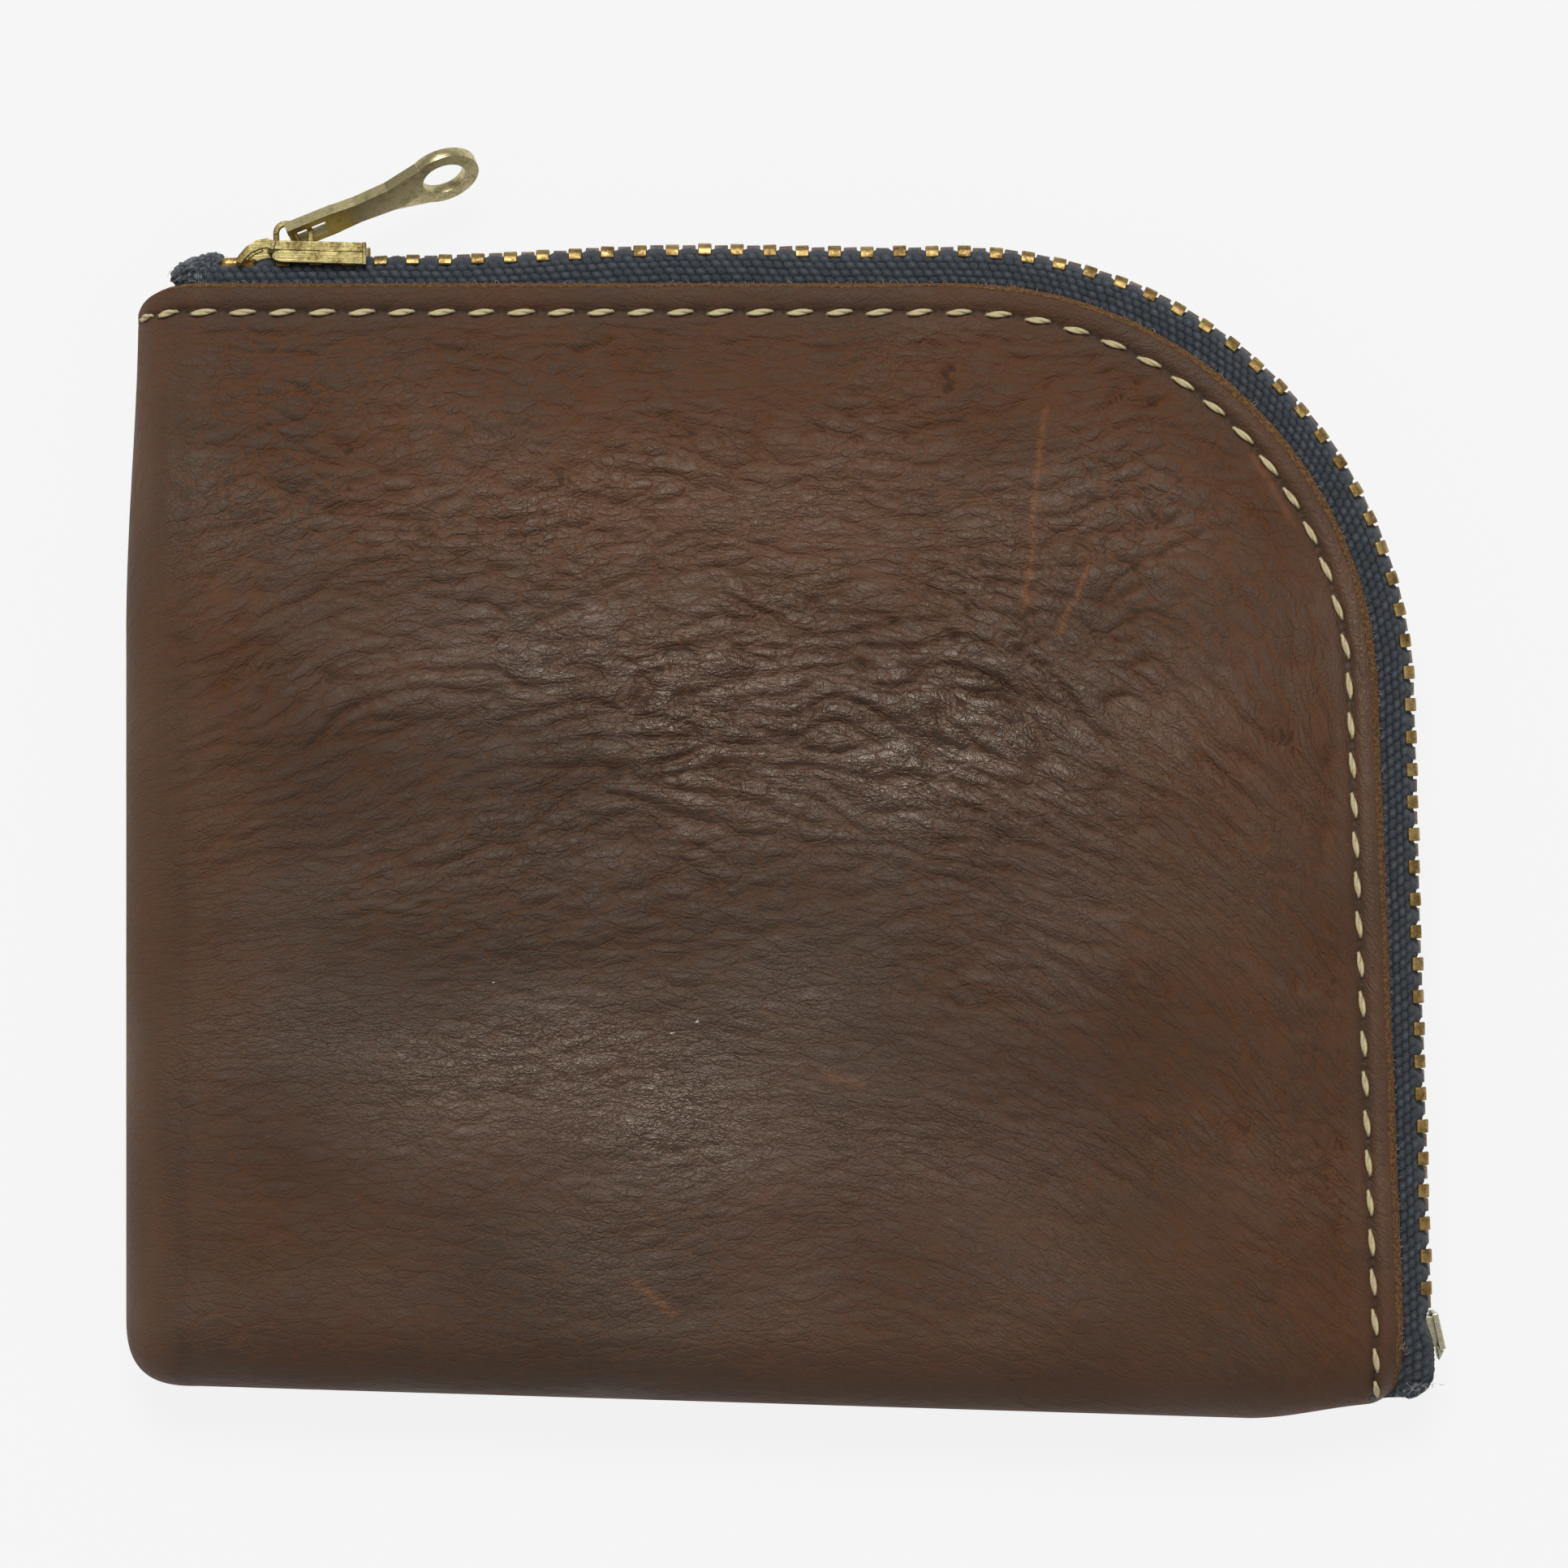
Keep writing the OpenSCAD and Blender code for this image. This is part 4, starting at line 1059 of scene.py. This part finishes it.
def build_teeth(name, front, mat):
    """The row of teeth on one tape."""
    base, sides, caps = extruded(tooth_shape(), 0.58)
    base[base[:, 2] < 0.6, 0] *= 0.84
    base[:, 1] += 0.0 if front else 0.14
    n = len(base)
    toe = (base[:, 1] > -1.3) & (base[:, 1] < -0.9)
    verts, quads, ngons, share = [], [], [], []
    rng = np.random.default_rng(5 if front else 6)
    for i in range(TEETH):
        s = FIRST_TOOTH + i * PITCH + (0 if front else PITCH / 2)
        x, y, head = (float(k) for k in CHAIN.at(s))
        yaw = head + rng.normal(0, 0.02)
        c, sn = math.cos(yaw), math.sin(yaw)
        v = base + [0, rng.normal(0, 0.03), rng.normal(0, 0.03)]
        v[toe, 1] += 0.30 * math.exp(-((i / 5) ** 2))
        verts.append(np.stack([x + v[:, 0] * c - v[:, 1] * sn,
                               y + v[:, 0] * sn + v[:, 1] * c, HALF + v[:, 2]], 1))
        quads.append(sides + i * n)
        ngons += [k + i * n for k in caps]
        share.append(np.full(n, float(hinge_share(np.array(x), np.array(y)))))
    verts = np.concatenate(verts)
    faces = [np.concatenate(quads), np.array(ngons)]
    if not front:
        verts[:, 2] = 2 * HALF - verts[:, 2]
        faces = [f[:, ::-1] for f in faces]
    obj = new_mesh(name, verts, faces, mat, smooth_faces=True)
    bevel = obj.modifiers.new("edges", "BEVEL")
    bevel.width, bevel.segments, bevel.limit_method, bevel.angle_limit = 0.00009, 2, "ANGLE", math.radians(50)
    bevel.harden_normals = True
    return obj, np.concatenate(share)


def bar(points, thick):
    """Outline of a strip along a bent line, of the given thickness at each point, with square ends."""
    pts = np.array(points, float)
    t = np.gradient(pts, axis=0)
    n = np.stack([-t[:, 1], t[:, 0]], 1) / np.linalg.norm(t, axis=1)[:, None]
    w = np.broadcast_to(thick, (len(pts),))[:, None] / 2
    return np.concatenate([pts - n * w, (pts + n * w)[::-1]])


def rail_outline(x0, x1, low, high, tilt, nose):
    """Outline of a slider's side, rounded at its nose and cut square behind."""
    a = np.radians(np.linspace(90, 270, 9))
    r = (high - low) / 2
    pts = ([(x0 + nose + nose * math.cos(k), (low + high) / 2 + r * math.sin(k)) for k in a]
           + [(x1, low), (x1, high)])
    return [(x, y + math.tan(math.radians(tilt)) * x) for x, y in pts]


def build_slider(mat):
    """The slider: two plates joined by a wedge, with rolled sides and a nose bent down over the teeth."""
    parts = []
    for sign in (1, -1):
        z = lambda a, b: (a, b) if sign > 0 else (-b, -a)
        parts.append(prism(rail_outline(-2.75, 5.5, 0.50, 1.34, -2.6, 0.7), *z(2.9, 4.02)))
        parts.append(prism(rail_outline(-2.60, 5.45, -0.56, 0.48, -2.6, 1.0), *z(3.42, 4.24)))
        parts.append(prism([(5.28, -0.82), (5.62, -0.82), (5.62, 1.12), (5.28, 1.12)], *z(3.42, 4.3)))
        arm = [(-2.3, 0.95), (-3.0, 1.2), (-3.8, 1.05), (-4.6, 0.62), (-5.25, -0.05), (-5.5, -0.5)]
        parts.append(prism(bar(arm, [0.8, 0.85, 0.8, 0.72, 0.62, 0.5]), *z(3.44, 4.2)))
        parts.append(prism(bar([(-3.4, 0.75), (-4.2, 0.42), (-4.9, -0.1)], 0.5), *z(3.42, 4.0)))
    parts.append(prism([(-3.0, 0.35), (5.4, 0.25), (5.4, 0.72), (-3.0, 0.9)], -3.3, 3.3))
    parts.append(prism([(-2.6, -3.6), (4.2, -3.6), (4.2, -2.8), (-2.6, -2.8)], -2.6, 2.6))
    parts.append(prism([(-4.6, -3.3), (-2.4, -3.6), (-2.4, 0.6), (-4.6, 0.4)], -0.25, 0.25))
    v, f = joined(parts)
    obj = new_mesh("slider_shell", placed(v, SLIDER_AT), f, mat)
    return bevelled(obj, 0.17, 3, 28)


def build_stop(name, mat, mirror, seed):
    """A top stop: a strip of metal pinched round the tape's cord, with a dent where the tool closed it."""
    x, u = np.meshgrid(np.linspace(-1, 1, 41), np.linspace(0, 2 * np.pi, 49), indexing="ij")
    def sq(w, k):
        return np.sign(w) * np.abs(w) ** k
    end = (1 - np.abs(x) ** 6) ** 0.25
    y = -0.75 + 0.85 * sq(np.cos(u), 0.55) * end
    z = 2.05 + 1.2 * sq(np.sin(u), 0.55) * end
    z = z - 0.34 * np.exp(-(((y + 1.05) / 0.34) ** 2)) * np.exp(-(((x - 0.1) / 0.62) ** 2)) * (np.sin(u) > 0)
    z = z + 0.05 * noise(x * 3, y * 3, seed)
    v = np.stack([x * 1.6, y + 0.06 * noise(x * 2, z, seed + 1), z], -1).reshape(-1, 3)
    idx = np.arange(len(v)).reshape(x.shape)
    v = placed(v, -61.9, mirror)
    f = grid_faces(idx, mirror)
    return new_mesh(name, v, [f, idx[0][None, :-1], idx[-1][None, :-1]], mat)


def build_bottom_stop(mat):
    """The plate that holds both tapes together under the last teeth, and its bent tab."""
    v1, f1 = prism([(-1.62, 0.2), (1.62, 0.2), (1.62, 0.75), (-1.62, 0.75)], -2.6, 2.9)
    a = math.radians(11)
    x, y = v1[:, 0] * math.cos(a) - v1[:, 1] * math.sin(a), v1[:, 0] * math.sin(a) + v1[:, 1] * math.cos(a)
    v1 = np.stack([x, y, v1[:, 2]], 1)
    v2, f2 = prism([(1.2, 0.3), (2.5, 0.45), (1.6, 0.95)], -1.2, 2.3)
    v3, f3 = prism([(-1.5, -1.9), (1.5, -1.9), (1.3, 0.4), (-1.3, 0.4)], -1.8, 1.8)
    v, f = joined([(v1, f1), (v2, f2), (v3, f3)])
    return bevelled(new_mesh("bottom_stop_plate", placed(v, CHAIN.arc + 55.8), f, mat), 0.12, 2)


# ---------------------------------------------------------------- the thread

def stitch_row():
    """Centres and headings of each stitch along the hide's edge."""
    last = int((STITCHES.arc + 59.0) / STITCH_PITCH)
    s = np.arange(-21, last + 2) * STITCH_PITCH
    return STITCHES.at(s)


def twisted(x, y, z, head, length, ply, slant, turns=0.8, points=17):
    """Two plies twisted round each other for each stitch, thinning and dipping into the hide at both ends."""
    t = np.linspace(-1, 1, points)
    dive = 0.75 * smooth(0.62, 1.0, np.abs(t)) ** 1.5 + 0.10 * t ** 2
    close = 1 - 0.55 * smooth(0.5, 1.0, np.abs(t))
    paths = []
    for ply_no in (0, 1):
        ang = t * turns * np.pi + ply_no * np.pi
        along = t * length / 2
        side = ply * 0.68 * np.cos(ang) * close + math.tan(slant) * along
        up = ply * 0.7 * np.sin(ang) * close - dive + 0.17
        c, sn = np.cos(head)[:, None], np.sin(head)[:, None]
        px, py = x[:, None] + along * c - side * sn, y[:, None] + along * sn + side * c
        past = np.clip((seam_y(px) - py) / HALF, 0, np.pi / 2) * (px > 0)
        turn = np.clip((ROLL_X - px) / HALF, 0, np.pi / 2)
        py = np.where(past > 0, seam_y(px) - HALF * np.sin(past), py - top_left_drop(turn, STITCH_IN))
        px = np.where(turn > 0, ROLL_X - (HALF + up) * np.sin(turn), px) + spine_lean(py, turn * HALF)
        paths.append(np.stack([px, py, HALF + (z[:, None] + up) * np.cos(past) * np.cos(turn)], -1))
    return np.concatenate(paths)


def build_stitches(name, front, p, seed):
    x, y, head = stitch_row()
    rng = np.random.default_rng(seed)
    z = np.full(len(x), float(rim_height(np.array(STITCH_IN))) - 0.12)
    length, ply = mm(p.length) * (1 + rng.normal(0, 0.02, len(x))), mm(p.ply)
    paths = np.concatenate([
        twisted(x[i:i + 1], y[i:i + 1], z[i:i + 1], head[i:i + 1] + rng.normal(0, 0.02),
                length[i], ply, p.slant)
        for i in range(len(x))])
    if not front:
        paths[..., 2] = 2 * HALF - paths[..., 2]
    thin = 1 - 0.45 * smooth(0.45, 1.0, np.abs(np.linspace(-1, 1, 17)))
    v, f = tubes(paths, ply, 8, thin)
    if not front:
        f = [k[:, ::-1] for k in f]
    share = np.repeat(hinge_share(x, y), 2 * 17 * 8)
    return new_mesh(name, v, f, bpy.data.materials["waxed_thread"]), share


# ---------------------------------------------------------------- operators

def settings(name):
    return getattr(bpy.context.scene, "pouch_" + name)


class MakeMaterials(bpy.types.Operator):
    """Make the leather, cloth, thread and metal"""
    bl_idname = "pouch.materials"
    bl_label = "Materials"

    def execute(self, context):
        for make in (grain_group, wear_group, metal_group):
            make()
        leather_material(settings("hide"))
        flesh_material()
        tape_material(settings("zip"))
        thread_material(settings("thread"))
        age = settings("zip").age
        metal_material("tooth_brass", rgb(184, 156, 100), rgb(118, 92, 56), age, 0.10)
        # Painted shade: the back teeth get a darker, duller copy of the front teeth's brass
        metal_material("shaded_back_tooth_brass", rgb(150, 124, 100), rgb(100, 78, 62), age + 0.05, 0.12)
        metal_material("slider_brass", rgb(198, 184, 126), rgb(112, 92, 52), age, 0.05)
        metal_material("pull_brass", rgb(206, 194, 148), rgb(140, 126, 92), age - 0.08, 0.04)
        metal_material("stop_brass", rgb(190, 160, 96), rgb(112, 84, 42), age, 0.06)
        metal_material("bottom_stop_brass", rgb(232, 226, 196), rgb(170, 160, 118), age - 0.15)
        for name, color in (("leather_fuzz", rgb(140, 88, 40)), ("loose_strand", rgb(118, 130, 142))):
            _, n, b = material(name)
            mottle = n.noise(n.add("ShaderNodeTexCoord").outputs[3], 900.0)
            n.put(b.inputs["Base Color"], n.mix(mottle, color, rgb(196, 190, 180)))
            b.inputs["Roughness"].default_value = 0.9
        return {"FINISHED"}


class MakeHide(bpy.types.Operator):
    """Make both halves of the hide, its rough inner side and its raw edge"""
    bl_idname = "pouch.hide"
    bl_label = "Hide"

    def execute(self, context):
        p, t, seed = settings("hide"), settings("thread"), settings("stage").seed
        step = mm(p.step)
        front = build_hide("front_hide", True, p, t, seed, step)
        blended(front)
        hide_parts("front_panel", "mouth_flap", "front_bottom_fold", "spine_fold")
        back = build_hide("back_hide", False, p, t, seed + 50, step * 1.5)
        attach(back, "pouch")
        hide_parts("back_panel", "back_bottom_fold")
        for name, side in (("front_hide_inside", True), ("back_hide_inside", False)):
            inner = build_lining(name, side)
            if side:
                blended(inner)
            else:
                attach(inner, "pouch")
            fuzz, share = build_fuzz(name.replace("hide_inside", "edge_fibres"), side, seed + 3)
            if side:
                blended(fuzz)
            else:
                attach(fuzz, "pouch")
        return {"FINISHED"}


class MakeTapes(bpy.types.Operator):
    """Make the woven tapes, their folded ends and their loose strands"""
    bl_idname = "pouch.tapes"
    bl_label = "Tapes"

    def execute(self, context):
        p, seed = settings("zip"), settings("stage").seed
        fine = 0.115
        end = CHAIN.arc + 61.5
        front = build_tape("front_woven_tape", True, p, fine, -65.6, end, seed)
        blended(front)
        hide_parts("front_tape", "front_tape_ends", "front_tape_cord", "front_cord_ends")
        back = build_tape("back_woven_tape", False, p, fine * 1.8, -65.6, end, seed + 4)
        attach(back, "pouch")
        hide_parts("back_tape", "back_tape_cord")
        front_knot = build_tape_knot("front_tape_knot", True, p, seed + 6)
        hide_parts("front_tape_fold")
        back_knot = build_tape_knot("back_tape_knot", False, p, seed + 7)
        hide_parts("back_tape_fold")
        fray = build_fray("tape_fray", bpy.data.materials["loose_strand"], seed + 8)
        for o in (front_knot, back_knot, fray):
            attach(o, "pouch")
        return {"FINISHED"}


class MakeTeeth(bpy.types.Operator):
    """Make the two rows of teeth and their stops"""
    bl_idname = "pouch.teeth"
    bl_label = "Teeth"

    def execute(self, context):
        mats = bpy.data.materials
        front, share = build_teeth("front_zip_teeth", True, mats["tooth_brass"])
        blended(front)
        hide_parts("front_teeth", "front_teeth_ends")
        back, _ = build_teeth("back_zip_teeth", False, mats["shaded_back_tooth_brass"])
        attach(back, "pouch")
        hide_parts("back_teeth")
        for side, flip in (("front", False), ("back", True)):
            stop = build_stop(side + "_stop_strip", mats["stop_brass"], flip, 30 + flip)
            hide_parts(side + "_top_stop")
            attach(stop, "pouch")
        plate = build_bottom_stop(mats["bottom_stop_brass"])
        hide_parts("bottom_stop")
        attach(plate, "pouch")
        return {"FINISHED"}


class MakeSlider(bpy.types.Operator):
    """Finish the slider, its bail and the pull"""
    bl_idname = "pouch.slider"
    bl_label = "Slider and pull"

    def execute(self, context):
        mats = bpy.data.materials
        shell = build_slider(mats["slider_brass"])
        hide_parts("slider_body")
        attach(shell, "slider")
        for node, mat, edge in (("pull_bail", "slider_brass", 0.12), ("pull_tab", "pull_brass", 0.10)):
            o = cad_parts[node]
            o.data.materials.clear()
            o.data.materials.append(mats[mat])
            bevelled(o, edge)
        return {"FINISHED"}


class MakeThread(bpy.types.Operator):
    """Make the twisted thread of both stitch rows, and give the seam inside the thread's material"""
    bl_idname = "pouch.thread"
    bl_label = "Thread"

    def execute(self, context):
        p, seed = settings("thread"), settings("stage").seed
        front, share = build_stitches("front_thread", True, p, seed)
        blended(front)
        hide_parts("front_stitching", "front_stitching_ends")
        back, _ = build_stitches("back_thread", False, p, seed + 1)
        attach(back, "pouch")
        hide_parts("back_stitching")
        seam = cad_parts["bottom_seam_thread"]
        seam.data.materials.clear()
        seam.data.materials.append(bpy.data.materials["waxed_thread"])
        return {"FINISHED"}


class MakeStage(bpy.types.Operator):
    """Set the floor, the lights and the camera"""
    bl_idname = "pouch.stage"
    bl_label = "Stage"

    def execute(self, context):
        p = settings("stage")
        scene = context.scene
        scene.view_settings.view_transform = "Standard"
        world = bpy.data.worlds.new("studio")
        scene.world = world
        world.use_nodes = True
        bg = world.node_tree.nodes["Background"]
        bg.inputs[0].default_value = (1, 1, 1, 1)
        bg.inputs[1].default_value = p.world
        m, _, b = material("floor_paper")
        b.inputs["Base Color"].default_value = (0.06, 0.06, 0.06, 1)
        b.inputs["Roughness"].default_value = 1.0
        b.inputs["Specular IOR Level"].default_value = 0.0
        b.inputs["Emission Color"].default_value = (1, 1, 1, 1)
        b.inputs["Emission Strength"].default_value = p.floor
        corners = [(x * 3000, y * 3000, -0.3) for x, y in ((-1, -1), (1, -1), (1, 1), (-1, 1))]
        floor = new_mesh("floor", corners, [[[0, 1, 2, 3]]], m)
        for name, loc, size, power in (
                ("key", (-0.05, 0.66, 1.06), 0.46, p.key), ("fill_left", (-0.55, -0.10, 0.42), 0.5, p.fill),
                ("fill_right", (0.55, -0.10, 0.42), 0.5, p.fill),
                ("fill_front", (0.0, -0.55, 0.42), 0.5, p.fill * 0.6)):
            light = bpy.data.lights.new(name, "AREA")
            light.shape, light.size, light.energy = "SQUARE", size, power
            o = bpy.data.objects.new(name, light)
            o.location = loc
            o.rotation_euler = (Vector((0, 0, 0)) - Vector(loc)).to_track_quat("-Z", "Y").to_euler()
            scene.collection.objects.link(o)
        cam = bpy.data.cameras.new("camera")
        cam.lens, cam.sensor_width = 200, 36
        cam.clip_start, cam.clip_end = 0.01, 10
        o = bpy.data.objects.new("camera", cam)
        o.location = (0.002876, 0.004517, 0.757 + 0.0095)
        scene.collection.objects.link(o)
        scene.camera = o
        return {"FINISHED"}


class PouchPanel(bpy.types.Panel):
    """Settings and steps of the pouch"""
    bl_idname = "VIEW3D_PT_pouch"
    bl_label = "Pouch"
    bl_space_type = "VIEW_3D"
    bl_region_type = "UI"
    bl_category = "Pouch"

    def draw(self, context):
        for name in GROUPS:
            box = self.layout.box()
            box.label(text=name.title())
            for key in GROUPS[name].__annotations__:
                box.prop(getattr(context.scene, "pouch_" + name), key)
        for op in STEPS:
            self.layout.operator(op.bl_idname)


GROUPS = {"hide": PouchHide, "zip": PouchZip, "thread": PouchThread, "stage": PouchStage}
STEPS = (MakeMaterials, MakeHide, MakeTapes, MakeTeeth, MakeSlider, MakeThread, MakeStage)


def register():
    for c in (*GROUPS.values(), *STEPS, PouchPanel):
        bpy.utils.register_class(c)
    for name, c in GROUPS.items():
        setattr(bpy.types.Scene, "pouch_" + name, PointerProperty(type=c))


def unregister():
    for name in GROUPS:
        delattr(bpy.types.Scene, "pouch_" + name)
    for c in reversed((*GROUPS.values(), *STEPS, PouchPanel)):
        bpy.utils.unregister_class(c)


def main():
    register()
    for step in STEPS:
        area, name = step.bl_idname.split(".")
        if getattr(getattr(bpy.ops, area), name)() != {"FINISHED"}:
            raise RuntimeError(step.bl_label + " did not finish")
    bpy.context.view_layer.update()


if __name__ == "__main__":
    main()
